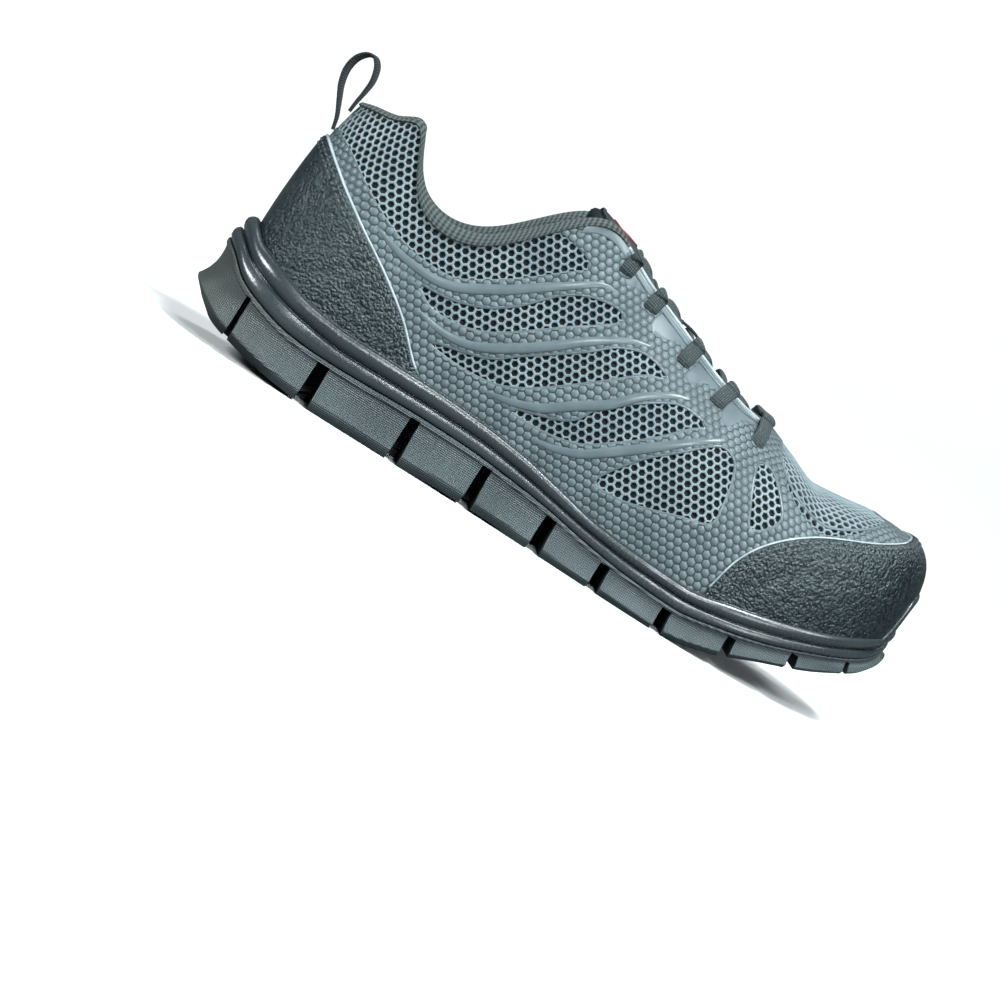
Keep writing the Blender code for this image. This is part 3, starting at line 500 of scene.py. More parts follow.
def newPiece(name, points, faces, finish, uv=None):
    mesh = bpy.data.meshes.new(name)
    mesh.from_pydata(np.asarray(points, float).tolist(), [], faces)
    if uv is not None:
        layer = mesh.uv_layers.new(name="UVMap")
        corner = np.empty(len(mesh.loops), int)
        mesh.loops.foreach_get("vertex_index", corner)
        layer.data.foreach_set("uv", np.asarray(uv, float)[corner].reshape(-1))
    mesh.materials.append(finish)
    mesh.shade_smooth()
    return newObject(name, mesh)


def faceOutward(piece):
    # merges doubles and turns a closed mesh outwards
    work = bmesh.new()
    work.from_mesh(piece.data)
    bmesh.ops.remove_doubles(work, verts=work.verts, dist=1e-6)
    bmesh.ops.dissolve_degenerate(work, edges=work.edges, dist=1e-7)
    bmesh.ops.recalc_face_normals(work, faces=work.faces)
    if work.calc_volume(signed=True) < 0:
        bmesh.ops.reverse_faces(work, faces=work.faces)
    work.to_mesh(piece.data)
    work.free()


def ringFaces(count, wide, joined=False):
    # faces between rings of the same number of points
    faces = []
    for i in range(count if joined else count - 1):
        here, after = i * wide, (i + 1) % count * wide
        for j in range(wide):
            k = (j + 1) % wide
            faces.append((here + j, here + k, after + k, after + j))
    return faces


def alongLine(points):
    # how far along its line every point lies
    steps = np.linalg.norm(np.diff(points, axis=0), axis=1)
    return np.concatenate([[0], np.cumsum(steps)])


def gridPiece(name, grid, finish, closed=(False, False), caps=False):
    # a mesh through a grid of points with its own UV map in metres; closed says which ways join up
    grid = np.asarray(grid, float)
    if closed[1]:
        grid = np.concatenate([grid, grid[:, :1]], 1)
    if closed[0]:
        grid = np.concatenate([grid, grid[:1]], 0)
    alongStep = np.linalg.norm(np.diff(grid, axis=0), axis=2).mean(1)
    acrossStep = np.linalg.norm(np.diff(grid, axis=1), axis=2)
    u = np.concatenate([[0], np.cumsum(alongStep)])
    v = np.concatenate([np.zeros((len(grid), 1)), np.cumsum(acrossStep, 1)], 1)
    uv = np.stack([np.repeat(u[:, None], grid.shape[1], 1), v], 2).reshape(-1, 2)
    high, wide = grid.shape[:2]
    faces = []
    for i in range(high - 1):
        for j in range(wide - 1):
            faces.append((i * wide + j, i * wide + j + 1, (i + 1) * wide + j + 1, (i + 1) * wide + j))
    if caps:
        for row in (0, high - 1):
            ring = [row * wide + j for j in range(wide - 1)]
            for j in range(len(ring) // 2 - 1):
                faces.append((ring[j], ring[j + 1], ring[-j - 2], ring[-j - 1]))
    piece = newPiece(name, grid.reshape(-1, 3), faces, finish, uv)
    faceOutward(piece)
    return piece


def fairLine(points, count):
    # a smooth open curve through points, evenly spaced again
    points = np.asarray(points, float)
    length = alongLine(points)
    table = [smoothTable(length, points[:, i]) for i in range(points.shape[1])]
    goal = np.linspace(0, length[-1], count)
    return np.stack([curve(goal) for curve in table], 1)


def splineLine(points, count, closed=False):
    # Catmull-Rom curve through points, evenly spaced again
    points = np.asarray(points, float)
    if closed:
        padded = np.concatenate([points[-1:], points, points[:2]])
    else:
        padded = np.concatenate([2 * points[:1] - points[1:2], points, 2 * points[-1:] - points[-2:-1]])
    fine = []
    for i in range(1, len(padded) - 2):
        a, b, c, d = padded[i - 1:i + 3]
        for u in np.arange(0, 1, .1):
            fine.append(.5 * (2 * b + (c - a) * u + (2 * a - 5 * b + 4 * c - d) * u * u
                              + (3 * b - a - 3 * c + d) * u ** 3))
    fine.append(padded[-2])
    fine = np.array(fine)
    length = alongLine(fine)
    goal = np.linspace(0, length[-1], count + (1 if closed else 0))
    line = np.stack([np.interp(goal, length, fine[:, i]) for i in range(points.shape[1])], 1)
    return line[:-1] if closed else line


def tangents(line, closed=False):
    line = np.asarray(line, float)
    if closed:
        return unit(np.roll(line, -1, 0) - np.roll(line, 1, 0))
    return unit(np.gradient(line, axis=0))


def dress(piece, materialSlot, *nodes):
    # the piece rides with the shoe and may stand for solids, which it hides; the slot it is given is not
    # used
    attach(piece, "root")
    if nodes:
        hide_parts(*nodes)
    return piece


# Camera, floor and light

view = {"pixelMm": .3832, "distance": 1.6, "elevation": 4.5, "azimuth": 5.0, "roll": 32.45,
        "aim": (-.0073, 0.0, .0069)}


def makeCamera():
    data = bpy.data.cameras.new("camera")
    data.sensor_width = 36
    data.lens = data.sensor_width * view["distance"] / (view["pixelMm"] * mm * 1000)
    data.clip_start, data.clip_end = .05, 30
    camera = newObject("camera", data)
    turn = Matrix.Rotation(math.radians(-view["azimuth"]), 3, "Z")
    lift = Matrix.Rotation(math.radians(90 - view["elevation"]), 3, "X")
    roll = Matrix.Rotation(math.radians(view["roll"]), 3, "Z")
    facing = turn @ lift
    place = Vector(view["aim"]) + facing @ Vector((0, 0, view["distance"]))
    camera.matrix_world = Matrix.Translation(place) @ (facing @ roll).to_4x4()
    bpy.context.scene.camera = camera


def makeBackdrop():
    # painted studio board, matt and pale, that turns up into a wall all round
    finish, tree, shader = newMaterial("matt painted board", "#fbfbfb", .9)
    # white to the camera only: what the board throws back on the shoe stays dim, as in a darker room
    cameraRay = addNode(tree, "ShaderNodeLightPath").outputs["Is Camera Ray"]
    paint = addNode(tree, "ShaderNodeMix", {0: cameraRay, 6: "#55595b", 7: "#fbfbfb"}, data_type="RGBA")
    tree.links.new(paint.outputs[2], shader.inputs["Base Color"])
    radii = [0, .3, .6, 1.0, 1.4, 1.8, 2.2, 2.6, 2.9, 3.1, 3.2, 3.2]
    heights = [0, 0, 0, 0, 0, .01, .08, .25, .55, 1.0, 1.6, 3.0]
    turns = np.linspace(0, 2 * math.pi, 97)[:-1]
    grid = [[(r * math.cos(a), r * math.sin(a), h) for a in turns] for r, h in zip(radii, heights)]
    board = gridPiece("backdrop", grid, finish, closed=(False, True))
    work = bmesh.new()
    work.from_mesh(board.data)
    for face in work.faces:
        middle = face.calc_center_median()
        inward = Vector((-middle.x, -middle.y, 3 - middle.z))
        if face.normal.dot(inward) < 0:
            face.normal_flip()
    work.to_mesh(board.data)
    work.free()


lamps = {
    "over": {"power": 27, "size": .36, "place": (.30, -.70, 1.30), "goal": (0, 0, .05)},
    "heel": {"power": 21, "size": .30, "place": (-1.30, -.60, .62), "goal": (0, 0, .05)},
    "key": {"power": 10, "size": .20, "place": (.05, -1.45, .78), "goal": (0, 0, .05)},
    "front": {"power": 8, "size": .40, "place": (.85, -1.40, .32), "goal": (0, 0, .05)},
    "toe": {"power": 9, "size": .35, "place": (.90, -.80, 1.0), "goal": (.10, 0, .04)},
    "rim": {"power": 3, "size": .5, "place": (.75, 1.1, 1.1), "goal": (0, 0, .05)},
    "wall": {"power": 66, "size": 1.4, "place": (0, .9, 2.3), "goal": (-.2, 3.0, .9)},
}


def makeLamps():
    for name, lamp in lamps.items():
        data = bpy.data.lights.new("lamp " + name, "AREA")
        data.energy = lamp["power"]
        data.size = lamp["size"]
        data.color = rgb("#f3fbfd")[:3]
        made = newObject("lamp_" + name, data)
        place = Vector(lamp["place"])
        made.matrix_world = Matrix.Translation(place) @ (
            (place - Vector(lamp["goal"])).to_track_quat("Z", "Y").to_matrix().to_4x4())
    world = bpy.data.worlds.new("studio")
    bpy.context.scene.world = world
    world.use_nodes = True
    light = world.node_tree.nodes["Background"]
    light.inputs["Color"].default_value = rgb("#fbfcff")
    light.inputs["Strength"].default_value = .07


bpy.context.scene.view_settings.view_transform = "Standard"
makeCamera()
makeBackdrop()
makeLamps()
print("camera, floor and light are in place")


# The sole: a block-tread rubber outsole under a foam midsole with its rand and toe bumper

# places round the sole, closer together at the toe and the heel
soleWay = np.concatenate([np.linspace(start, end, count, endpoint=False) for start, end, count in
                          ((0, 3, 40), (3, 17, 110), (17, 23, 70), (23, 37, 110), (37, 40, 40))])
skinWay = np.where(soleWay > rows, soleWay - around, soleWay)

# Profiles of the sole's side, from below: the share of the way between two of its lines, how far out
# it stands there and how far back at the heel, in shares of the flare and the rake
footBand = [(0, .25, .92), (.04, .44, .98), (.12, .52, 1.0), (.35, .57, .97), (.60, .56, .9),
            (.80, .52, .82), (.88, .50, .79), (.90, .40, .78), (.93, .40, .76), (.95, .49, .74),
            (.985, .46, .70)]
randBand = [(0, .30, .55), (.03, .30, .55), (.07, .46, .58), (.14, .58, .60), (.30, .68, .56),
            (.50, .71, .5), (.68, .68, .4), (.82, .60, .3), (.92, .50, .2)]
blockSide = [(1, .22, .95), (.985, .48, 1.0), (.95, .54, 1.0), (.90, .53, 1.0), (.87, .40, 1.0),
             (.80, .36, 1.0), (.68, .36, 1.0), (.56, .43, 1.0), (.42, .60, 1.0), (.30, .82, 1.0),
             (.215, .99, 1.0), (.18, .97, .96), (.09, .76, .45), (0, .52, -.2)]
# The lip of the rand: how far below its top, and how far out in shares of the lip
randLip = [(.030, 1.30), (.012, 1.22), (.003, 1.0), (0, .7), (0, .35)]
# Where the flare lessens to the toe and the rake starts at the heel, in shares of the length
flare = {"toeFrom": .40, "toeOver": .09, "toeLess": .42, "heelFrom": .33, "heelOver": .12}
tread = {"web": .0017, "slotWidth": .0058, "draft": .75, "grooveWidth": .0035, "grooveDepth": .0035,
         "slots": [(-.430, .45), (-.3080, 1.15), (-.1758, .95), (-.0692, .95), (.0305, 1.1),
                   (.1160, .95), (.2086, .95), (.2964, .8), (.3780, .75), (.4470, .4)],
         "grooves": (-.16, .16), "grooveEnds": (-.44, .46), "edgeMm": .45, "coreWide": .022,
         "below": .006, "bevelFrom": 50, "sharpFrom": 32}


def soleRing(low, high, share, out, rake):
    foot = footPoint(soleWay)
    size = foot[:, 0] / last["length"]
    toe = 1 - flare["toeLess"] * np.clip((size - flare["toeFrom"]) / flare["toeOver"], 0, 1)
    heel = easeStep((-size - flare["heelFrom"]) / flare["heelOver"])
    reach = out * last["soleFlare"] * toe + rake * last["heelRake"] * heel
    point = foot + outward(soleWay) * reach[:, None]
    bottom, top = level[low](point[:, 0]), level[high](point[:, 0])
    point[:, 2] = bottom + share * (top - bottom)
    return point + shift


def randTop(t):
    # the rand's top edge, with the bumper in front of the toe
    bumper = easeStep((last["bumperRows"] - rowOf(t)) * 1.6)
    return level["rand"](footPoint(t)[:, 0]) + bumper * last["bumperHeight"]


def stackRings(name, rings, finish):
    # closed body through rings round the foot, its first and last ring filled across
    rings = np.asarray(rings)
    count, wide = rings.shape[:2]
    faces = ringFaces(count, wide)
    for start in (0, (count - 1) * wide):
        for j in range(wide // 2):
            rung = [j, j + 1, wide - 1 - j, (wide - j) % wide]
            faces.append(tuple(dict.fromkeys(start + corner for corner in rung)))
    piece = newPiece(name, rings.reshape(-1, 3), faces, finish)
    faceOutward(piece)
    return piece


def outsoleRubber():
    # moulded rubber, mould-blasted: nearly matt, with a cross-hatch on the faces of its blocks that is
    # drawn coarser than the real one so that it shows
    finish, tree, shader = newMaterial("moulded rubber", "#465155", .42, specular=.6)
    place = addNode(tree, "ShaderNodeTexCoord").outputs["Object"]
    first, second = (rowsAlong(tree, place, way, 1.5) for way in ((1, 0, 1), (1, 0, -1)))
    hatch = addNode(tree, "ShaderNodeMath", {0: first, 1: second}, operation="MULTIPLY")
    blast = addNode(tree, "ShaderNodeTexNoise", blobs(place, .5))
    tone = addNode(tree, "ShaderNodeTexNoise", blobs(place, 22, 4))
    plain = colourBy(tree, shader, tone, "#465155", "#586468")
    # the cross-hatch's grooves are painted near black: painted shade in the grooves of the one-coloured
    # rubber
    hatchShaded = colourBy(tree, shader, hatch, plain, "#101415", -.2, .7, .85)
    towardHeel = addNode(tree, "ShaderNodeSeparateXYZ", {"Vector": place})
    colourBy(tree, shader, towardHeel, hatchShaded, "#4a4a3d", -.085, -.15, .45)   # browner with dust
    glossBy(tree, shader, blast, .32, .46)
    raiseBy(tree, shader, blast, .05, .5)
    raiseBy(tree, shader, hatch, -.22, .9)
    return finish


# Moulded foam skin: satin, very finely grained
foam = grained("moulded foam", "#343c3f", .26, dark="#272e31", cloud=(30, 3), grain=(1.3, 4, .65),
               gloss=(.22, .30), rise=(.12, .7), specular=.75)


def makeMidsole():
    rings = [soleRing("seam", "groove", *line) for line in footBand]
    rings += [soleRing("groove", "rand", *line) for line in randBand]
    gap = last["gap"]
    rings[0][:, 2] += gap / 2
    top = shareAtHeight(skinWay, randTop(soleWay))
    for drop, out in randLip:
        rings.append(offSkin(skinWay, top - drop, gap + last["randLip"] * out))
    rings.append(offSkin(skinWay, top - .004, gap))
    rings.append(offSkin(skinWay, top * .6, 2 * gap))
    floor = footPoint(soleWay) + shift + outward(soleWay) * gap
    floor[:, 2] -= gap
    rings.append(floor)
    return stackRings("midsole_foam", rings, foam)


def slotCutters():
    # two wedges for every cross slot, one from each side up to the core
    cutters = []
    core, width = tread["coreWide"] / 2, last["width"]
    for x, wide in tread["slots"]:
        place, half = x * last["length"], wide * tread["slotWidth"] / 2
        low = float(level["bottom"](place)) - tread["below"]
        top = float(level["seam"](place)) - tread["web"]
        narrow = half * tread["draft"]
        wedge = ((-half, low), (-narrow, top), (narrow, top), (half, low))
        for near, far in ((-width, -core), (core, width)):
            cutters.append([[(place + shift[0] + a, y, z) for a, z in wedge] for y in (near, far)])
    return cutters


def grooveCutter(place):
    # a long groove that keeps its share of the width from the sole's middle line
    grid = []
    half, depth = tread["grooveWidth"] / 2, tread["grooveDepth"]
    for x in np.linspace(*tread["grooveEnds"], 60) * last["length"]:
        row = float(halving(lambda t: x - footPoint(t)[..., 0], 0.0, 20.0))
        out, inn = footPoint(np.array([row, around - row]))[:, 1]
        y = (out + inn) / 2 + place * last["width"] * max((inn - out) / last["width"], .5) + shift[1]
        bottom = float(level["bottom"](x))
        grid.append([(x + shift[0], y + side * half * share, bottom + up * depth)
                     for side, share, up in ((-1, 1, -1), (-1, .7, 1), (1, .7, 1), (1, 1, -1))])
    return grid


def makeOutsole():
    rings = [soleRing("bottom", "seam", *line) for line in blockSide]
    rings[0][:, 2] -= last["gap"] / 2
    rubber = outsoleRubber()
    body = stackRings("outsole_rubber", rings, rubber)
    grids = slotCutters() + [grooveCutter(place) for place in tread["grooves"]]
    cutters = [gridPiece("cutter", grid, rubber, closed=(False, True), caps=True) for grid in grids]
    for cutter in cutters:
        change = body.modifiers.new("cut", "BOOLEAN")
        change.operation, change.solver, change.object = "DIFFERENCE", "EXACT", cutter
    trim = body.modifiers.new("edges", "BEVEL")
    trim.width, trim.segments, trim.limit_method = tread["edgeMm"] * mm, 2, "ANGLE"
    trim.angle_limit = math.radians(tread["bevelFrom"])
    mesh = freezeMesh(body)
    mesh.shade_smooth()
    mesh.set_sharp_from_angle(angle=math.radians(tread["sharpFrom"]))
    for cutter in cutters:
        bpy.data.objects.remove(cutter)
    return body


dress(makeMidsole(), "midsole foam", "midsole")
dress(makeOutsole(), "outsole rubber", "outsole")
print("sole is made")


# The upper's skin: hexagons of film welded on mesh, open as holes where the photo shows mesh

hexNet = {"pitchMm": 3.3, "stepT": .1, "heelFrom": 13.5, "heelRows": 4, "pivotRow": 7, "levelShare": .8,
          "grain": 1e-5, "leastArea": 2e-8, "mostWide": .009}

# Mesh windows as a side view shows them, both sides alike; x from the middle and z up, in mm
sideWindows = {
    "collarBand": [(-141, 111), (-146, 104), (-139, 96), (-128, 90.5), (-109, 79), (-89.7, 71.5),
                   (-70.5, 70.6), (-59, 76.5), (-47.5, 84.4), (-32, 97.3), (-28, 99.5), (-29.5, 103),
                   (-38, 105.5), (-47.5, 106), (-60, 104), (-72, 98), (-90, 96), (-104, 104),
                   (-108, 116), (-125, 116)],
    "upperBand": [(-93.5, 62.5), (-80, 60.9), (-70.5, 56.5), (-59, 56.6), (-47.5, 60.3), (-36, 68.1),
                  (-24.5, 77.1), (-13, 85.1), (-6.5, 90.9), (-11.1, 93.9), (-22.8, 92), (-32.2, 86.5),
                  (-43.7, 74.7), (-55, 67.1), (-70.5, 62.9)],
    "middleBand": [(-64.4, 45.8), (-51.4, 43.7), (-36, 45.1), (-24.5, 50.3), (-13, 58.7), (-1.5, 68.1),
                   (10, 77.7), (18.8, 81.7), (7.3, 85), (-3.5, 81.7), (-13, 73.9), (-32.2, 60),
                   (-43.7, 51.9)],
    "lowerBand": [(-26.5, 40.7), (-13, 39.7), (2.3, 43), (13.8, 50.8), (25.3, 60.3), (34.9, 70),
                  (40.6, 74.3), (33, 76.1), (25.3, 75.3), (13.8, 68.3), (2.3, 58.9), (-5.4, 48.6)],
    "ballWindow": [(14.9, 35.2), (25.3, 33.9), (36.8, 36.8), (48.3, 40.8), (59.8, 44.7), (60.2, 53.5),
                   (59, 61.2), (56, 68.8), (50.2, 71.4), (45.2, 69.4), (36.8, 61.8), (25.3, 51.1)],
    "dropWindow": [(64.8, 73.6), (71.3, 72.9), (78.9, 65.3), (82, 59.7), (78.9, 53.9), (73.2, 51.1),
                   (69.4, 57.6), (65.5, 67.1)],
}
# The mesh over the toes as the top view shows it, in mm
toeWindow = [(72, -2), (71.5, -19), (75, -31), (83, -38), (96, -39), (106, -35.5), (114, -28.5),
             (119.5, -18), (122, -4), (121.5, 12), (117, 25), (109, 34.5), (98, 40), (85, 40), (76, 34),
             (72, 22)]
# Smooth fins between the eyelets, seen from the side
smoothFins = [
    [(-15, 103.5), (-8, 104), (0, 104.6), (4, 107.5), (-3, 113.5), (-11, 111.5)],
    [(2.5, 96), (6, 92.6), (14, 94.6), (22, 94.2), (25.5, 96.2), (19, 101.5), (10, 106.5), (5.5, 103)],
    [(23, 85.2), (26.5, 84.4), (32.5, 87.6), (38.5, 87.8), (42.5, 91.2), (34, 96.2), (27, 93)],
    [(42.5, 80.8), (47, 78.6), (52, 83.5), (58.6, 84.2), (58, 88.4), (48.5, 92), (44.5, 88.2)],
]
isScale, isMesh, isFin = 0, 1, 2   # kinds of cell: embossed film, open mesh, smooth fin
windowEdge = {"widthMm": 1.3, "heightMm": .42, "topShare": .9, "topRow": 9, "toeAbove": .052}


def chart():
    # distances for every point of the dense net, so that hexagons stay regular: p along the shoe and
    # round the heel, q across from the middle of the foot to the sole
    row, place = rowOf(netT), netT[:, 0]
    along = skin(place, hexNet["levelShare"])
    step = np.diff(along, axis=0)
    extra = np.linalg.norm(step[:, :2], axis=1) - np.abs(step[:, 0])
    extra = extra * (rowOf(place[:-1] + .05) > hexNet["heelFrom"])
    total = np.concatenate([[0], np.cumsum(extra)])
    total = np.abs(total - total[len(total) // 2])
    heel = easeStep((row - hexNet["heelFrom"]) / hexNet["heelRows"])
    p = -(netPoints[..., 0] * (1 - heel) + along[:, 0][:, None] * heel) + total[:, None]
    pieces = np.diff(netPoints, axis=1)
    flat, full = np.linalg.norm(pieces[..., 1:], axis=2), np.linalg.norm(pieces, axis=2)
    arc = flat * (1 - heel[:, 1:]) + full * heel[:, 1:]
    arc = np.concatenate([np.zeros((len(arc), 1)), np.cumsum(arc, 1)], 1)
    centre = crestY(np.minimum(row[:, 0], crestRows)) * last["width"] + shift[1]
    reach = np.abs(netPoints[:, -1, 1] - centre) + arc[:, -1]
    footZ = netPoints[:, 0, 2]
    for side in (1, -1):
        pivot = np.argmin(np.abs(place - side * hexNet["pivotRow"]))
        isRear = place * side > hexNet["pivotRow"]
        reach = np.where(isRear, reach[pivot] + footZ[pivot] - footZ, reach)
    return p, (reach[:, None] - arc) * np.where(netT > 0, 1, -1)


def bilinear(table, t, s):
    # reads a table of the dense net between its points
    place = (t + rows) / hexNet["stepT"]
    first = np.clip(place.astype(int), 0, table.shape[0] - 2)
    up = s * (table.shape[1] - 1)
    second = np.clip(up.astype(int), 0, table.shape[1] - 2)
    a, b = place - first, up - second
    return ((table[first, second] * (1 - a) + table[first + 1, second] * a) * (1 - b)
            + (table[first, second + 1] * (1 - a) + table[first + 1, second + 1] * a) * b)


def distanceTo(outline, points):
    # signed distance to a closed outline, below 0 inside
    start, end = outline, np.roll(outline, -1, 0)
    span = end - start
    away = points[:, None, :] - start[None]
    share = np.clip((away * span).sum(2) / (span * span).sum(1), 0, 1)
    gapTo = np.linalg.norm(away - share[..., None] * span, axis=2).min(1)
    x, y = points[:, None, 0], points[:, None, 1]
    crosses = (start[:, 1] > y) != (end[:, 1] > y)
    climb = np.where(span[:, 1] == 0, 1e-12, span[:, 1])
    crossing = span[:, 0] * (y - start[:, 1]) / climb + start[:, 0]
    inside = (crosses & (x < crossing)).sum(1) % 2 == 1
    return np.where(inside, -gapTo, gapTo)


windowLines = {name: splineLine(np.array(line) * mm + (shift[0], 0), 70, closed=True)
               for name, line in sideWindows.items()}
toeLine = splineLine(np.array(toeWindow) * mm, 90, closed=True)
finLines = [splineLine(np.array(line) * mm + (shift[0], 0), 40, closed=True) for line in smoothFins]


def windowField(t, s):
    # below 0 inside a mesh window; none from the side reaches the top of the foot before the throat
    points = skin(t, s)
    side = np.min([distanceTo(line, points[:, [0, 2]]) for line in windowLines.values()], axis=0)
    side = np.where((s < windowEdge["topShare"]) | (rowOf(t) > windowEdge["topRow"]), side, 1)
    top = np.where(points[:, 2] > windowEdge["toeAbove"], distanceTo(toeLine, points[:, :2]), 1)
    return np.minimum(side, top)


def finField(t, s):
    # below 0 inside a smooth fin
    side = skin(t, s)[:, [0, 2]]
    return np.min([distanceTo(line, side) for line in finLines], axis=0)


eyelets = {"places": [(-.052, .911), (-.0015, .852), (.0685, .767), (.131, .714), (.200, .679)],
           "lengthMm": 6.2, "widthMm": 4.4}
eyeletSpots = {}
for inner in (False, True):
    xs = [x * last["length"] for x, z in eyelets["places"]]
    zs = [z * last["height"] for x, z in eyelets["places"]]
    t, s = onSide(xs, zs, inner)
    eyeletSpots[inner] = list(zip(t, s))


def eyeletFrame(inner, number):
    # middle, direction along the throat's edge, direction across it and outwards
    t, s = (np.array([value]) for value in eyeletSpots[inner][number])
    middle, normal = skin(t, s)[0], skinNormal(t, s)[0]
    along = unit(skin(t + .3, 1.0) - skin(t - .3, 1.0))[0]
    along = unit(along - normal * along.dot(normal))
    return middle, along, np.cross(normal, along), normal


def eyeletField(points):
    # below 0 inside an eyelet's oval
    field = np.full(len(points), 1.0)
    for inner in (False, True):
        for number in range(len(eyelets["places"])):
            middle, along, across, normal = eyeletFrame(inner, number)
            away = points - middle
            oval = np.hypot(away.dot(along) / (eyelets["lengthMm"] / 2),
                            away.dot(across) / (eyelets["widthMm"] / 2)) / mm
            near = np.abs(away.dot(normal)) < .006
            field = np.minimum(field, np.where(near, (oval - 1) * .002, 1))
    return field


def hexagonNet():
    # every hexagon over the skin: place and share of each corner, and the six corners of each cell
    p, q = chart()
    tree = KDTree(p.size)
    for number, spot in enumerate(zip(p.reshape(-1), q.reshape(-1))):
        tree.insert((*spot, 0), number)
    tree.balance()
    pitch, grain = hexNet["pitchMm"] * mm, hexNet["grain"]
    high = pitch * math.sqrt(3) / 2
    centres = []
    for j in range(int(q.min() / high) - 1, int(q.max() / high) + 2):
        for i in range(int(p.min() / pitch) - 1, int(p.max() / pitch) + 2):
            centre = ((i + .5 * (j % 2)) * pitch, j * high)
            if tree.find((*centre, 0))[2] < pitch * .75:
                centres.append(centre)
    turns = np.radians(30 + 60 * np.arange(6))
    ring = np.stack([np.cos(turns), np.sin(turns)], 1) * pitch / math.sqrt(3)
    corners = np.array(centres)[:, None, :] + ring[None]
    keys = np.round(corners.reshape(-1, 2) / grain).astype(int)
    unique, back = np.unique(keys, axis=0, return_inverse=True)
    goal = unique * grain
    nearest = [tree.find((*spot, 0))[1] for spot in goal]
    t, s = settle(goal, lambda t, s: np.stack([bilinear(p, t, s), bilinear(q, t, s)], 1),
                  netT.reshape(-1)[nearest], netS.reshape(-1)[nearest],
                  turns=5, reach=.05, most=(.3, .05), tiny=1e-7)
    return t, s, back.reshape(-1, 6).tolist()


def hexagonCells():
    # the hexagons cut by windows, fins and eyelets; every cell has its kind and its corners
    t, s, hexagons = hexagonNet()
    fields = {"window": list(windowField(t, s)), "fin": list(finField(t, s)),
              "eyelet": list(eyeletField(skin(t, s)))}
    t, s = list(t), list(s)
    made = {}

    def cornerBetween(name, a, b):
        # a new corner where a field crosses zero between two others
        key = (name, min(a, b), max(a, b))
        if key not in made:
            low, high = fields[name][key[1]], fields[name][key[2]]
            share = low / (low - high)
            made[key] = len(t)
            for values in (t, s, *fields.values()):
                values.append(values[key[1]] + share * (values[key[2]] - values[key[1]]))
        return made[key]

    def split(cell, name):
        # the parts of a cell inside and outside a field, both empty where no face is left to cut
        inside, outside = [], []
        if len(cell) < 3:
            return inside, outside
        isInside = [fields[name][corner] < 0 for corner in cell]
        for i, here in enumerate(cell):
            after = (i + 1) % len(cell)
            (inside if isInside[i] else outside).append(here)
            if isInside[i] != isInside[after]:
                middle = cornerBetween(name, here, cell[after])
                inside.append(middle)
                outside.append(middle)
        return inside, outside

    cells = []
    for hexagon in hexagons:
        hole, film = split(split(hexagon, "eyelet")[1], "window")
        fin, scale = split(film, "fin")
        parts = (isMesh, hole), (isFin, fin), (isScale, scale)
        cells += [(kind, part) for kind, part in parts if len(part) > 2]
    return np.array(t), np.array(s), cells


# Relief of the hexagons: depths and heights in mm, and how much of its cell each face keeps
skinRelief = {"ribShare": .88, "lipMm": .28, "holeShare": .70, "holeMm": .75,
              "scaleShare": .83, "scaleMm": .34, "holeTaper": .96}

# Polyurethane film welded on textile: satin, with a faint cloudiness from the press
film = grained("welded polyurethane film", "#616e73", .32, dark="#4f5b60", cloud=(14, 4),
               grain=(.45, 3), gloss=(.33, .46), rise=(.04, .5), specular=.35)
# The film between its scales, pressed thin: a little rougher, and darker as painted shade in the grooves;
# the lips round the mesh holes take it too, as painted shade
grooveShadeFilm = grained("film groove with painted shade", "#3b4548", .45, dark="#2e3639", cloud=(.5, 3), specular=.3)
# Ribs of the coated sandwich mesh: paler than the film, with soft edges
rib = grained("coated mesh ribs", "#7d8b90", .38, dark="#65737a", cloud=(20, 3), grain=(.5, 3),
              rise=(.05, .6), specular=.35)
# Knitted spacer cloth at the bottom of the holes: nearly black and matt
spacer = grained("knitted spacer cloth", "#282e31", .9, dark="#101314", cloud=(.7, 2), low=.35,
                 rise=(.15, .8), specular=.15)


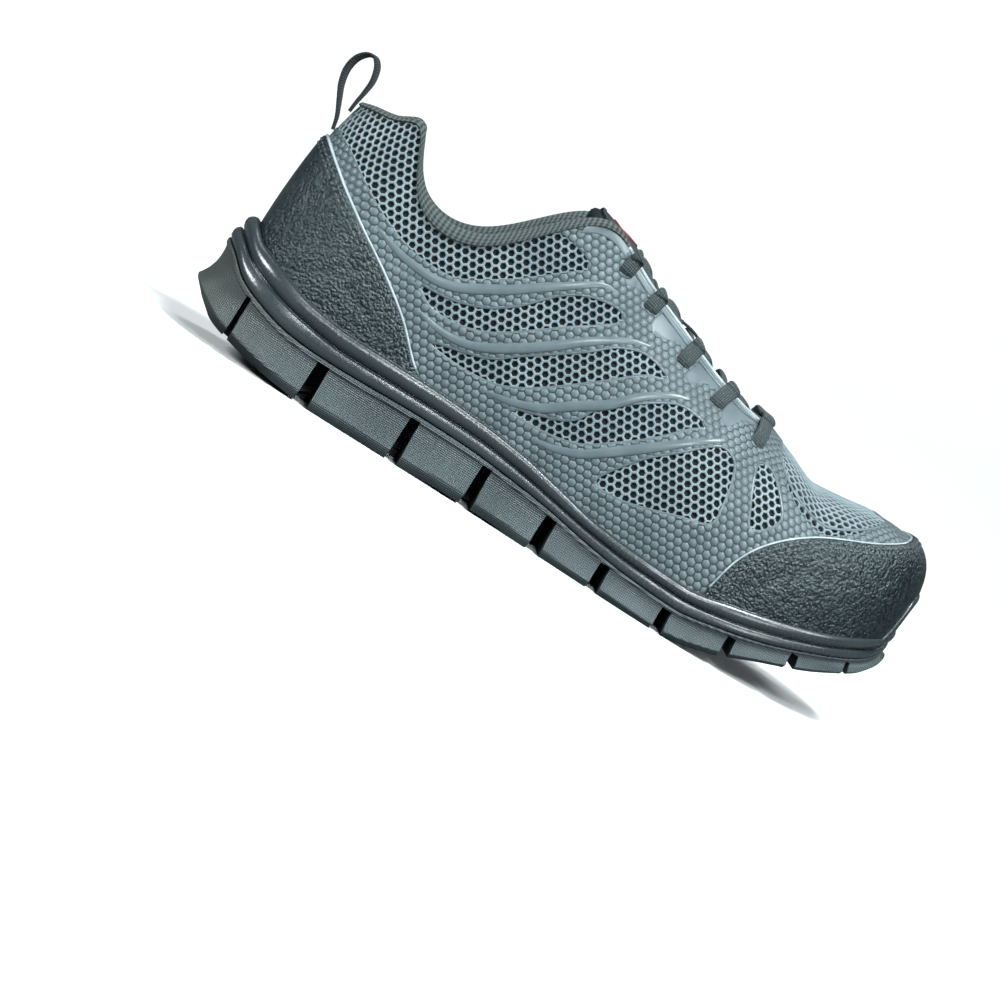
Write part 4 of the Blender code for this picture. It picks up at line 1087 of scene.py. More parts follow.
def hexRelief():
    # sinks a hole into every cell of mesh and raises a scale on every cell of embossed film
    tree, inputs, given, result = newTree("hexagon relief", {
        "Rib Share": skinRelief["ribShare"], "Lip": skinRelief["lipMm"] * mm,
        "Hole Share": skinRelief["holeShare"], "Hole Depth": skinRelief["holeMm"] * mm,
        "Scale Share": skinRelief["scaleShare"], "Scale Height": skinRelief["scaleMm"] * mm})
    size = given.outputs
    kinds = addNode(tree, "GeometryNodeInputNamedAttribute", {"Name": "kind"}, data_type="INT")

    def isKind(number):
        return addNode(tree, "FunctionNodeCompare", {2: kinds, 3: number},
                       data_type="INT", operation="EQUAL")

    def painted(geometry, finish, faces=True):
        return addNode(tree, "GeometryNodeSetMaterial",
                       {"Geometry": geometry, "Selection": faces, "Material": finish})

    def minus(length):
        return addNode(tree, "ShaderNodeMath", {0: length, 1: -1.0}, operation="MULTIPLY")

    def raised(geometry, faces, height, share):
        # each chosen face gets a smaller copy of itself at another height
        moved = addNode(tree, "GeometryNodeExtrudeMesh",
                        {"Mesh": geometry, "Selection": faces, "Offset Scale": height,
                         "Individual": True}, mode="FACES")
        top = moved.outputs["Top"]
        return addNode(tree, "GeometryNodeScaleElements",
                       {"Geometry": moved, "Selection": top, "Scale": share}, domain="FACE"), top

    cells = painted(given, film)
    cells = painted(cells, rib, isKind(isMesh))
    # the sides of the scales take the darker groove film: painted shade between the scales
    cells = painted(cells, grooveShadeFilm, isKind(isScale))
    cells, top = raised(cells, isKind(isScale), size["Scale Height"], size["Scale Share"])
    cells = painted(cells, film, top)
    cells, top = raised(cells, isKind(isMesh), 0.0, size["Rib Share"])
    share = addNode(tree, "ShaderNodeMath", {0: size["Hole Share"], 1: size["Rib Share"]},
                    operation="DIVIDE")
    cells, top = raised(cells, top, minus(size["Lip"]), share)
    # the lip sloping into each hole takes the darker groove film: painted shade round the hole
    cells = painted(cells, grooveShadeFilm, top)
    cells, top = raised(cells, top, minus(size["Hole Depth"]), skinRelief["holeTaper"])
    cells = painted(cells, spacer, top)
    shade = addNode(tree, "GeometryNodeSetShadeSmooth", {0: cells})
    whole = addNode(tree, "GeometryNodeRealizeInstances", {0: shade})
    tree.links.new(whole.outputs[0], result.inputs[0])
    return tree, inputs


# Upper edges of the leather as the side shows them, in shares of the length and the height
capEdge = [(.2335, .160), (.249, .326), (.274, .425), (.312, .502), (.3375, .535), (.401, .603),
           (.4495, .667)]
counterEdge = [(-.454, .764), (-.424, .700), (-.360, .583), (-.297, .481), (-.256, .403),
               (-.207, .287), (-.195, .270)]
coverEnds = {"cap": .236, "counter": -.195, "under": .006}


def sideLine(places):
    return smoothTable([x * last["length"] for x, z in places], [z * last["height"] for x, z in places])


capLine, counterLine = sideLine(capEdge), sideLine(counterEdge)


def coveredField(t, s):
    # above 0 where nothing covers the skin; the covers' edges keep a few millimetres of it
    points = skin(t, s)
    x, z = points[:, 0] - shift[0], points[:, 2]
    capSide = np.where(x > coverEnds["cap"] * last["length"], z - capLine(x), 1)
    counterSide = np.where(x < coverEnds["counter"] * last["length"], z - counterLine(x), 1)
    lines = [z - level["rand"](x), z - randTop(np.mod(t, around)), capSide, counterSide]
    return np.min(lines, axis=0) + coverEnds["under"]


def skinFaces(points, kept):
    # the kept cells as faces, without slivers and cells torn across the heel; with their kinds
    used = sorted({corner for _, cell in kept for corner in cell})
    number = {corner: i for i, corner in enumerate(used)}
    faces, kinds = [], []
    for kind, cell in kept:
        corners = list(dict.fromkeys(cell))
        spots = points[corners]
        fan = [np.cross(spots[i] - spots[0], spots[i + 1] - spots[0]) for i in range(1, len(spots) - 1)]
        isSliver = len(corners) < 3 or np.linalg.norm(sum(fan)) / 2 < hexNet["leastArea"]
        if not isSliver and np.ptp(spots, axis=0).max() <= hexNet["mostWide"]:
            faces.append([number[corner] for corner in corners])
            kinds.append(kind)
    return points[used], faces, kinds


def makeSkin():
    t, s, cells = hexagonCells()
    middleT, middleS = (np.array([np.mean(values[cell]) for _, cell in cells]) for values in (t, s))
    isShown = coveredField(middleT, middleS) > 0
    points = skin(t, s)
    for name, side in (("skin_outer", 1), ("skin_inner", -1)):
        kept = [cell for cell, shown, place in zip(cells, isShown, middleT)
                if shown and place * side > 0]
        corners, faces, kinds = skinFaces(points, kept)
        piece = newPiece(name, corners, faces, film)
        mesh = piece.data
        work = bmesh.new()
        work.from_mesh(mesh)
        bmesh.ops.recalc_face_normals(work, faces=work.faces)
        work.to_mesh(mesh)
        work.free()
        some = list(mesh.polygons)[::max(1, len(mesh.polygons) // 60)]
        outwardThere = skinNormal(*onSkin([face.center for face in some]))
        if (outwardThere * np.array([face.normal for face in some])).sum() < 0:
            mesh.flip_normals()
        attribute = mesh.attributes.new("kind", "INT", "FACE")
        attribute.data.foreach_set("value", kinds)
        runTree(piece, *hexRelief())
        dress(piece, "film on mesh", "upper")
        print(name, "has", sum(len(face.vertices) - 2 for face in piece.data.polygons), "triangles")


makeSkin()
print("skin of the upper is made")


# Leather of the toe cap and the heel counter, laid on the skin with folded edges and stitching

cover = {"thickMm": 1.45, "foldMm": 1.6, "liftMm": .75, "stitchMm": 2.1, "stitchPitchMm": 2.9,
         "stitchWideMm": .80, "stitchHighMm": .55, "rowsMm": (2.2, 4.0), "underRandMm": 4,
         "leastShare": .012, "crowding": .85, "creaseFromMm": 4.5, "creaseEaseMm": 4}


def leatherFinish():
    # corrected-grain cowhide, pigmented and glazed: pebbled, with wet-looking highlights
    finish, tree, shader = newMaterial("glazed cowhide", "#0d1113", .30, specular=.4)
    for key, value in (("Coat Weight", .7), ("Coat Roughness", .16),
                       ("Specular Tint", rgb("#cfe6ee")), ("Coat Tint", rgb("#d8ecf2"))):
        shader.inputs[key].default_value = value
    place = addNode(tree, "ShaderNodeTexCoord").outputs["Object"]
    pebble = addNode(tree, "ShaderNodeTexVoronoi",
                     {"Vector": place, "Scale": 1000 / 1.15, "Smoothness": .35}, feature="SMOOTH_F1")
    wrinkle = addNode(tree, "ShaderNodeTexNoise", blobs(place, 1.9, 5, .6))
    cloud = addNode(tree, "ShaderNodeTexNoise", blobs(place, 26, 4))
    grain = addNode(tree, "ShaderNodeMath", {0: pebble, 1: -.55, 2: wrinkle}, operation="MULTIPLY_ADD")
    plain = colourBy(tree, shader, cloud, "#20282c", "#30393d")
    # the hollows between the pebbles are painted near black: painted shade in the grain
    colourBy(tree, shader, grain, "#0a0d0f", plain, .10, .42)
    glossBy(tree, shader, wrinkle, .24, .42)
    raiseBy(tree, shader, grain, .85, 1.0)
    tree.links.new(shader.inputs["Normal"].links[0].from_socket, shader.inputs["Coat Normal"])
    return finish


leather = leatherFinish()
# Bonded polyester thread: dark with a soft sheen
thread = grained("bonded polyester thread", "#4a5356", .45, grain=(.35, 2), rise=(.05, .6))
# Pale glossy film folded over the cut edge
piping = grained("pale edge film", "#abb6b9", .25, dark="#88959a", cloud=(6, 3))


def stitchTree():
    # one stitch on every point, turned along its seam and out of the surface
    tree, inputs, given, result = newTree("stitch row", {
        "Length": cover["stitchMm"] * mm, "Width": cover["stitchWideMm"] * mm,
        "Height": cover["stitchHighMm"] * mm})
    size = addNode(tree, "ShaderNodeCombineXYZ",
                   {0: given.outputs["Length"], 1: given.outputs["Width"], 2: given.outputs["Height"]})
    ball = addNode(tree, "GeometryNodeMeshUVSphere", {"Segments": 6, "Rings": 5, "Radius": .5})
    shaped = addNode(tree, "GeometryNodeTransform", {"Geometry": ball, "Scale": size})
    out, along = (addNode(tree, "GeometryNodeInputNamedAttribute", {"Name": name},
                          data_type="FLOAT_VECTOR") for name in ("out", "along"))
    turn = addNode(tree, "FunctionNodeAxesToRotation", {0: out, 1: along},
                   primary_axis="Z", secondary_axis="X")
    copies = addNode(tree, "GeometryNodeInstanceOnPoints",
                     {"Points": given, "Instance": shaped, "Rotation": turn})
    whole = addNode(tree, "GeometryNodeRealizeInstances", {"Geometry": copies})
    shade = addNode(tree, "GeometryNodeSetShadeSmooth", {0: whole})
    sewn = addNode(tree, "GeometryNodeSetMaterial", {"Geometry": shade, "Material": thread})
    tree.links.new(sewn.outputs[0], result.inputs[0])
    return tree, inputs


stitches = {"points": [], "along": [], "out": []}


def sewAlong(line, out, pitchMm):
    # notes stitches along a line of points with their outward directions
    length = alongLine(line)
    count = max(2, int(length[-1] / (pitchMm * mm)))
    goal = (np.arange(count) + .5) * length[-1] / count
    spots, ahead, outs = (np.stack([np.interp(at, length, table[:, i]) for i in range(3)], 1)
                          for at, table in ((goal, line), (goal + .0005, line), (goal, out)))
    stitches["points"] += list(spots)
    stitches["along"] += list(unit(ahead - spots + 1e-12))
    stitches["out"] += list(unit(outs))


def makeStitches():
    mesh = bpy.data.meshes.new("stitches")
    mesh.from_pydata([tuple(point) for point in stitches["points"]], [], [])
    for name in ("along", "out"):
        attribute = mesh.attributes.new(name, "FLOAT_VECTOR", "POINT")
        attribute.data.foreach_set("vector", np.array(stitches[name]).reshape(-1))
    piece = newObject("stitches", mesh)
    runTree(piece, *stitchTree())
    dress(piece, "grained leather")


def besideEdge(line, inwardMm, heightMm):
    # the edge line moved along the skin by so much, and lifted off it; with outward directions
    t, s = onSkin(line)
    normal = skinNormal(t, s)
    inward = np.cross(normal, tangents(line))
    t, s = onSkin(line + inward * inwardMm * mm)
    return offSkin(t, s, heightMm * mm), skinNormal(t, s)


# Soft creases of the leather, placed one by one as a side view shows them: x and z of the middle in
# shares of the length and height, the turn in degrees, then reach, half width and depth in mm
Crease = namedtuple("Crease", "x z turn reachMm wideMm deepMm")
creases = [
    Crease(-.422, .560, 76, 15, 3.4, .42), Crease(-.392, .470, 58, 11, 3.0, .36),
    Crease(-.352, .430, 38, 13, 3.2, .38), Crease(-.318, .372, -20, 10, 2.8, .30),
    Crease(-.372, .545, 65, 9, 2.6, -.26), Crease(-.270, .330, 20, 9, 2.6, .26),
    Crease(.300, .340, 44, 11, 3.2, .34), Crease(.352, .420, 22, 14, 3.6, .32),
    Crease(.405, .360, -58, 10, 3.0, .28), Crease(.432, .520, 8, 12, 3.4, .26),
    Crease(.330, .255, -12, 10, 2.8, -.22),
]


def creaseRise(face):
    # how far the creases lift or sink the leather: a trough with a faint ridge on both sides
    rise = 0
    for crease in creases:
        x = face[..., 0] - shift[0] - crease.x * last["length"]
        z = face[..., 2] - crease.z * last["height"]
        turn = math.radians(crease.turn)
        along = (x * math.cos(turn) + z * math.sin(turn)) / (crease.reachMm * mm)
        across = (z * math.cos(turn) - x * math.sin(turn)) / (crease.wideMm * mm)
        rise = rise - crease.deepMm * mm * (1 - .8 * across ** 2) * np.exp(-along ** 2 - across ** 2)
    return rise


def coverGrid(places, line, steps):
    # loops of the leather: up its outer face to the folded edge, and back down inside
    low = shareAtHeight(places, randTop(np.mod(places, around)) - cover["underRandMm"] * mm)
    high = np.maximum(shareAtLine(places, line), low + cover["leastShare"])
    shares = low[:, None] + (high - low)[:, None] * np.linspace(0, 1, steps) ** cover["crowding"]
    t = np.repeat(places[:, None], steps, 1)
    face = skin(t, shares)
    length = np.linalg.norm(np.diff(face, axis=1), axis=2)
    length = np.concatenate([np.zeros((len(places), 1)), np.cumsum(length, 1)], 1)
    fromEdge = length[:, -1:] - length
    ends = np.minimum(np.linalg.norm(skin(places, low) - skin(places[:1], low[:1]), axis=1),
                      np.linalg.norm(skin(places, low) - skin(places[-1:], low[-1:]), axis=1))
    fromEdge = np.minimum(fromEdge, ends[:, None] + .0004)
    bend = np.clip(1 - fromEdge / (cover["foldMm"] * mm), 0, 1)
    height = (cover["liftMm"] + cover["thickMm"] * np.sqrt(1 - bend * bend * .98)) * mm
    fromCrease = fromEdge - cover["creaseFromMm"] * mm
    height += creaseRise(face) * easeStep(fromCrease / (cover["creaseEaseMm"] * mm))
    outside = face + skinNormal(t, shares) * height[..., None]
    inside = face + skinNormal(t, shares) * -.0001
    return np.concatenate([outside, inside[:, ::-1]], 1), skin(places, high)


def edgeMeetsRand(line, low, high, sign):
    # where, between two places, the leather's edge comes down to the rand
    def aboveRand(t):
        t = np.atleast_1d(t)
        share = shareAtLine(t, line)
        return sign * (skin(t, share)[..., 2] - randTop(np.mod(t, around)))
    return float(halving(aboveRand, [low], [high])[0])


def makeCovers():
    # both leathers, and the lines of their folded edges
    capOut = edgeMeetsRand(capLine, 4.0, 7.0, -1)
    capIn = edgeMeetsRand(capLine, -7.0, -4.0, 1)
    capGrid, capTop = coverGrid(np.linspace(capIn, capOut, 300), capLine, 44)
    backOut = edgeMeetsRand(counterLine, 12.0, 16.0, 1)
    backIn = edgeMeetsRand(counterLine, -16.0, -12.0, -1)
    outer, inner = (coverGrid(np.linspace(first, second, 150), counterLine, 40)
                    for first, second in ((backOut, 20.0), (-20.0, backIn)))
    backGrid, backTop = (np.concatenate([there, back[1:]]) for there, back in zip(outer, inner))
    for node, grid in (("toe_cap", capGrid), ("heel_counter", backGrid)):
        piece = gridPiece(node + "_leather", grid, leather, closed=(False, True), caps=True)
        dress(piece, "grained leather", node)
    return fairLine(capTop, 400), fairLine(backTop, 400)


capRim, counterRim = makeCovers()
for rim in (capRim, counterRim):
    t, s = onSkin(rim)
    inward = np.cross(skinNormal(t, s), tangents(rim))
    down = np.sign((inward[len(inward) // 2] * (0, 0, -1)).sum()) or 1
    for row in cover["rowsMm"]:
        line, out = besideEdge(rim, down * row, cover["liftMm"] + cover["thickMm"] + .1)
        sewAlong(line[8:-8], out[8:-8], cover["stitchPitchMm"])


def ridgeAlong(name, line, widthMm, heightMm, finish, liftMm=0.0, taper=1.0, closed=False, steps=9):
    # a low rounded band on the skin along a line of points
    t, s = onSkin(line)
    base = offSkin(t, s, liftMm * mm)
    normal = skinNormal(t, s)
    side = np.cross(normal, tangents(base, closed))
    taper = taper * np.ones(len(line))
    grid = []
    for angle in np.linspace(0, math.pi, steps):
        out = np.cos(angle) * widthMm / 2 * mm * taper
        up = (np.sin(angle) ** .6 * heightMm - .12) * mm * np.maximum(taper, .35)
        grid.append(base + side * out[:, None] + normal * up[:, None])
    grid.append(base - normal * .25 * mm)
    return gridPiece(name, np.stack(grid, 1), finish, closed=(closed, True), caps=not closed)


for name, rim, wide, high in (("cap_edge_piping", capRim, 1.0, .95),
                              ("counter_edge_piping", counterRim, 1.15, 1.15)):
    dress(ridgeAlong(name, rim[6:-6], wide, high, piping, liftMm=cover["liftMm"] - .15), "smooth film")
print("leather covers are made")


# Smooth raised waves over the mesh, and the pressed rims round the mesh windows

waves = {"widthMm": 4.2, "heightMm": 1.1, "endShare": .25}
# Middle lines of the waves as the side shows them, in shares of the length and the height
wavePaths = [
    [(-.345, .606), (-.294, .569), (-.2335, .568), (-.1765, .640), (-.138, .709), (-.100, .779),
     (-.070, .829), (-.049, .836)],
    [(-.245, .452), (-.213, .436), (-.184, .438), (-.157, .458), (-.119, .515), (-.081, .586),
     (-.043, .664), (-.005, .725), (.024, .749)],
    [(-.123, .349), (-.089, .364), (-.051, .402), (-.020, .461), (.014, .521), (.0455, .601),
     (.076, .653), (.099, .675)],
    [(-.043, .302), (-.011, .315), (.019, .346), (.0455, .396), (.084, .475), (.122, .555),
     (.145, .598), (.162, .628)],
]


# The same film pressed smooth: satin and a little paler than the scales
smoothFilm = grained("smooth pressed film", "#626e73", .28, dark="#535f64", cloud=(9, 3), specular=.4)


def windowRim(name, line):
    rim = ridgeAlong(name, line, windowEdge["widthMm"], windowEdge["heightMm"], smoothFilm,
                     closed=True, steps=6)
    dress(rim, "smooth film")


for inner, side in ((False, "lateral"), (True, "medial")):
    for number, path in enumerate(wavePaths, 1):
        flat = splineLine([(x * last["length"], z * last["height"]) for x, z in path], 90)
        middle = np.sin(np.pi * np.linspace(0, 1, len(flat))) ** .55
        node = "wave_%s_%d" % (side, number)
        line = skin(*onSide(flat[:, 0], flat[:, 1], inner))
        band = ridgeAlong(node + "_band", line, waves["widthMm"], waves["heightMm"], smoothFilm,
                          taper=waves["endShare"] + (1 - waves["endShare"]) * middle)
        dress(band, "smooth film", node)

for name, line in windowLines.items():
    if name != "collarBand":
        for inner, side in ((False, "outer"), (True, "inner")):
            rim = skin(*onSide(line[:, 0] - shift[0], line[:, 1], inner))
            windowRim("rim_%s_%s" % (name, side), rim)
toeHeights = []
for spot in toeLine:
    near = netPoints[(np.abs(netPoints[..., :2] - spot) < .006).all(-1)]
    toeHeights.append(near[:, 2].max() if len(near) else .07)
windowRim("rim_toe_window", np.column_stack([toeLine, toeHeights]))
print("waves and window rims are made")


# Lining, padded collar with its knitted binding, and the piping of the throat

collar = {"bandMm": .9, "outMm": 1.5, "insideMm": 11.0, "first": 11.2, "liningDepthMm": 1.15,
          "fadeRows": .9, "heelFrom": 16.2, "heelRows": 1.2}
# Up the collar's outside: the share of the band's height, and how proud of the skin it stands
collarOutside = [(0, .35), (.15, .8), (.45, 1.0), (.8, .95)]
# The stay of the throat: how far below the edge in shares, and how far out in mm
stayFold = [(0, -.3), (0, .42), (.012, .50), (.040, .48), (.052, .36), (.055, -.3)]


def knitFinish():
    # flat-knitted polyester binding: fine ribs across the roll, matt and soft
    finish, tree, shader = newMaterial("knitted binding", "#3d4545", .85, specular=.2, sheen=.06)
    place = addNode(tree, "ShaderNodeTexCoord").outputs["UV"]
    wale, course = rowsAlong(tree, place, (1, 0, 0), 2.1), rowsAlong(tree, place, (0, 1, 0), 1.7)
    loops = addNode(tree, "ShaderNodeMath", {0: course, 1: .45, 2: wale}, operation="MULTIPLY_ADD")
    fuzz = addNode(tree, "ShaderNodeTexNoise", blobs(place, .5))
    colourBy(tree, shader, loops, "#272d2e", "#535c5b", -1.2, 1.2)
    raiseBy(tree, shader, fuzz, .10, .6)
    raiseBy(tree, shader, loops, .16, .7)
    return finish


knit = knitFinish()
# Brushed lining cloth: matt and nearly black
lining = grained("brushed lining cloth", "#1c2022", .95, dark="#0f1213", cloud=(.9, 3),
                 rise=(.12, .8), specular=.2, sheen=.06)


def makeLining():
    # the wall behind the skin, one closed shell from the sole to the collar and throat
    shares = np.concatenate([np.linspace(0, .9, 22), [.94, .97, 1]])
    front = [offSkin(skinWay, s, -collar["liningDepthMm"] * mm) for s in shares]
    back = [offSkin(skinWay, s, -wallAt(skinWay, s)) for s in shares[::-1]]
    rings = np.array(front + back)
    piece = newPiece("lining", rings.reshape(-1, 3), ringFaces(*rings.shape[:2], joined=True), lining)
    faceOutward(piece)
    dress(piece, "film on mesh", "upper")


def collarProfile(t, band, out, inside, roll):
    # points over the collar's edge for each place: up the outside, over the roll, down the lining
    height = np.linalg.norm(skin(t, 1.0) - skin(t, .8), axis=1) / .2
    low, deep = 1 - band / height, 1 - inside / height
    normal = skinNormal(t, 1.0)
    outer = skin(t, 1.0)
    inner = outer - normal * wallAt(t, 1.0)[:, None]
    up = unit(outer - skin(t, .93))
    grid = [offSkin(t, low, -.0007)]
    for share, proud in collarOutside:
        grid.append(offSkin(t, low + (1 - low) * share, out * proud))
    for angle in np.linspace(.12, math.pi - .12, 9):
        share = (1 - math.cos(angle)) / 2
        wide = outer * (1 - share) + inner * share
        wide = wide + normal * (out * (1 - share) * .9)[:, None]
        grid.append(wide + up * (roll * math.sin(angle) ** .8)[:, None])
    for share in (.12, .35, .65, 1.0):
        s = 1 - inside * share / height
        bulge = .0012 * math.sin(math.pi * share) + .0003
        grid.append(offSkin(t, s, -wallAt(t, s) - bulge))
    grid.append(offSkin(t, deep, -wallAt(t, deep) + .0008))
    return np.stack(grid, 1)


def makeCollar():
    first = collar["first"]
    places = np.concatenate([np.linspace(first, rows, 230), np.linspace(-rows, -first, 230)[1:]])
    row = rowOf(places)
    fade = easeStep((row - first) / collar["fadeRows"])
    heel = easeStep((row - collar["heelFrom"]) / collar["heelRows"])
    band = (collar["bandMm"] * (1 - .5 * heel) * (.35 + .65 * fade)) * mm
    out = (collar["outMm"] * (1 - .35 * heel) * (.3 + .7 * fade)) * mm
    inside = collar["insideMm"] * mm * (.35 + .65 * fade)
    roll = np.maximum(shape["roll"](np.mod(places, around)), last["thinRim"]) * last["collarRoll"]
    grid = collarProfile(places, band, out, inside, roll)
    piece = gridPiece("collar_binding", grid, knit, closed=(False, True), caps=True)
    dress(piece, "sock cloth", "upper")


def throatWay(end, count, start=crestRows + .02):
    # places along the throat's edge, from the inner side round its front to the outer side
    return np.concatenate([np.linspace(-end, -start, count), np.linspace(start, end, count)])


def makeThroat():
    # a smooth folded stay of film along the edge, where the scales end
    t = throatWay(12.45, 180)
    stay = [offSkin(t, 1 - back, out * mm) for back, out in stayFold]
    stay = gridPiece("throat_stay", np.stack(stay, 1), smoothFilm, closed=(False, True), caps=True)
    dress(stay, "smooth film", "upper")
    # twin glossy strips on it, round the throat's front from side to side
    t, s = onSkin(splineLine(skin(throatWay(11.5, 160), 1.0)[::6], 420))
    for name, aside, wide, high in (("throat_piping_outer", 1.5, 1.0, .62),
                                    ("throat_piping_edge", .1, 1.5, .95)):
        strip = skin(t, np.maximum(s - aside * mm / .07, 0))
        dress(ridgeAlong(name, strip, wide, high, piping), "smooth film")
    # the cut edge of the wall under the strips
    t = throatWay(12.3, 150, crestRows)
    wall, wallBelow = wallAt(t, 1.0), wallAt(t, .98)
    lift = unit(skin(t, 1.0) - skin(t, .97)) * .0006
    edge = [offSkin(t, 1.0, .0003), skin(t, 1.0) + lift, offSkin(t, 1.0, -wall) + lift,
            offSkin(t, 1.0, -wall - .0003), offSkin(t, .98, -wallBelow - .0003),
            offSkin(t, .98, -wallBelow + .001), offSkin(t, .98, .0001)]
    edge = gridPiece("throat_edge", np.stack(edge, 1), knit, closed=(False, True), caps=True)
    dress(edge, "film on mesh")


makeLining()
makeCollar()
makeThroat()
print("lining and collar are made")


# Laces and the lips of the eyelets

lacing = {"widthMm": 6.4, "thickMm": 2.2, "restMm": 1.8, "rimMm": .75, "overMm": 1.15, "underMm": -.1}
# Out of the eyelet and up to the throat's edge: the share of the way, and the height over the skin in mm
laceRise = [(-.55, -1.6), (-.38, .3), (-.12, 1.25), (.25, 1.6), (.55, 1.7), (.85, 1.9)]


def laceFinish():
    # tubular polyester braid, flattened: chevrons of yarn with pale flecks, matt
    finish, tree, shader = newMaterial("braided polyester lace", "#343b3c", .88, specular=.2, sheen=.06)
    place = addNode(tree, "ShaderNodeTexCoord").outputs["UV"]
    first, second = (rowsAlong(tree, place, way, 1.7) for way in ((1, 1, 0), (1, -1, 0)))
    braid = addNode(tree, "ShaderNodeMath", {0: first, 1: second}, operation="MULTIPLY")
    fleck = addNode(tree, "ShaderNodeTexNoise", blobs(place, .8, 2))
    yarn = colourBy(tree, shader, braid, "#202627", "#475052", -.8, .8)
    colourBy(tree, shader, fleck, yarn, "#77837f", .58, .75, .5)
    raiseBy(tree, shader, braid, .16, .8)
    return finish


def webbingFinish():
    # narrow woven tape: ribbed across, matt black
    finish, tree, shader = newMaterial("woven tape", "#1d2123", .85, specular=.2, sheen=.06)
    place = addNode(tree, "ShaderNodeTexCoord").outputs["UV"]
    weft, warp = rowsAlong(tree, place, (1, 0, 0), 1.0), rowsAlong(tree, place, (0, 1, 0), 1.3)
    weave = addNode(tree, "ShaderNodeMath", {0: warp, 1: .5, 2: weft}, operation="MULTIPLY_ADD")
    colourBy(tree, shader, weave, "#121517", "#2d3336", -1.3, 1.3)
    raiseBy(tree, shader, weave, .12, .8)
    return finish


lace = laceFinish()
webbing = webbingFinish()


def hitTree(mesh):
    work = bmesh.new()
    work.from_mesh(mesh)
    tree = BVHTree.FromBMesh(work)
    work.free()
    return tree


def fromAbove(tree, x, y):
    # where a straight look down meets the mesh, and the way it faces there, or nothing
    return tree.ray_cast(Vector((x, y, .3)), Vector((0, 0, -1)))[:2]


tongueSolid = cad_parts["tongue"]
tongueTree = hitTree(tongueSolid.data)


def flatSweep(name, line, out, widthMm, thickMm, finish, sides):
    # a flat oval cord through a line of points with its outward directions
    along = tangents(line)
    side = unit(np.cross(out, along))
    up = np.cross(along, side)
    grid = []
    for angle in np.linspace(0, 2 * math.pi, sides, endpoint=False):
        a, b = math.cos(angle), math.sin(angle)
        wide = math.copysign(abs(a) ** .75, a) * widthMm / 2 * mm
        high = math.copysign(abs(b) ** .9, b) * thickMm / 2 * mm
        grid.append(line + side * wide + up * high)
    return gridPiece(name, np.stack(grid, 1), finish, closed=(False, True), caps=True)


def soften(values, times):
    # evens out a row of values, with its ends kept
    values = np.array(values)
    for _ in range(times):
        values[1:-1] = (values[:-2] + 2 * values[1:-1] + values[2:]) / 4
    return values


def spotOf(inner, number):
    t, s = eyeletSpots[inner][number]
    return float(t), float(s)


def crossingPlace(spot, far):
    # where the throat's edge crosses the straight way to a far point, seen from above
    places = spot[0] + np.linspace(-2.2, 2.2, 441)
    edge, way = skin(places, 1.0) - skin(*spot), far - skin(*spot)
    aside = edge[:, 0] * way[1] - edge[:, 1] * way[0]
    return float(places[np.argmin(np.abs(aside))])


def laceStart(spot, far):
    # out of the eyelet, over the eyestay and onto the throat's edge
    crossing = crossingPlace(spot, far)
    rest = lacing["restMm"] * mm
    line, out = [], []
    for share, height in laceRise:
        t = spot[0] + (crossing - spot[0]) * max(share, 0)
        s = spot[1] + (1 - spot[1]) * share * (1 if share > 0 else .45)
        line.append(offSkin(t, s, height * mm))
        out.append(skinNormal(t, s))
    normal = skinNormal(crossing, 1.0)
    lip = max(float(shape["roll"](np.mod(crossing, around))), last["thinRim"]) * last["collarRoll"]
    line.append(skin(crossing, 1.0) + normal * (rest + lip + .0002))
    out.append(normal)
    return line, out, skin(crossing, 1.0)


def laceSweep(name, line, out):
    return flatSweep(name, line, out, lacing["widthMm"], lacing["thickMm"], lace, 14)


def laceOver(name, number, inner, nodes, liftMm):
    start, end = spotOf(inner, number), spotOf(not inner, number + 1)
    line, out, near = laceStart(start, skin(*end))
    far = skin(crossingPlace(end, skin(*start)), 1.0)
    for share in (.25, .5, .75, .89, 1.0):
        spot = near * (1 - share) + far * share
        hit, _ = fromAbove(tongueTree, spot[0], spot[1])
        height = spot[2] - .004 if hit is None else hit.z
        lift = (lacing["thickMm"] / 2 + .35 + liftMm * math.sin(math.pi * share)) * mm
        if share > .85:
            height = min(height, float(far[2]) - last["wall"] - .0021)
        line.append(np.array([spot[0], spot[1], height + lift]))
        out.append(np.array([.25, 0, 1.0]))
    line, out = soften(splineLine(line, 110), 2), unit(soften(splineLine(out, 110), 40))
    dress(laceSweep(name, line, out), "braided lace", nodes)


def laceBar():
    number = len(eyelets["places"]) - 1
    outer, inner = spotOf(False, number), spotOf(True, number)
    first, firstOut, _ = laceStart(outer, skin(*inner))
    second, secondOut, _ = laceStart(inner, skin(*outer))
    middle = (first[-1] + second[-1]) / 2
    middle[2] = skin(float(crestRows), 1.0)[2] + .0026
    line = soften(splineLine(first + [middle] + second[::-1], 150), 2)
    out = unit(soften(splineLine(firstOut + [np.array([0, 0, 1.0])] + secondOut[::-1], 150), 40))
    dress(laceSweep("lace_bar_braid", line, out), "braided lace", "lace_bar")


def makeEyelet(name, middle, along, across):
    # a moulded lip round a punched hole
    turns = np.linspace(0, 2 * math.pi, 40, endpoint=False)[:, None]
    ring = middle + (along * np.cos(turns) * eyelets["lengthMm"] * mm / 2
                     + across * np.sin(turns) * eyelets["widthMm"] * mm / 2)
    t, s = onSkin(ring)
    base, up, away = skin(t, s), skinNormal(t, s), unit(ring - middle)
    grid = [base + away * math.cos(angle) * lacing["rimMm"] * mm * .7
            + up * (math.sin(angle) * .55 - .05) * mm
            for angle in np.linspace(0, 2 * math.pi, 10, endpoint=False)]
    dress(gridPiece(name, np.stack(grid, 1), smoothFilm, closed=(True, True)), "smooth film")


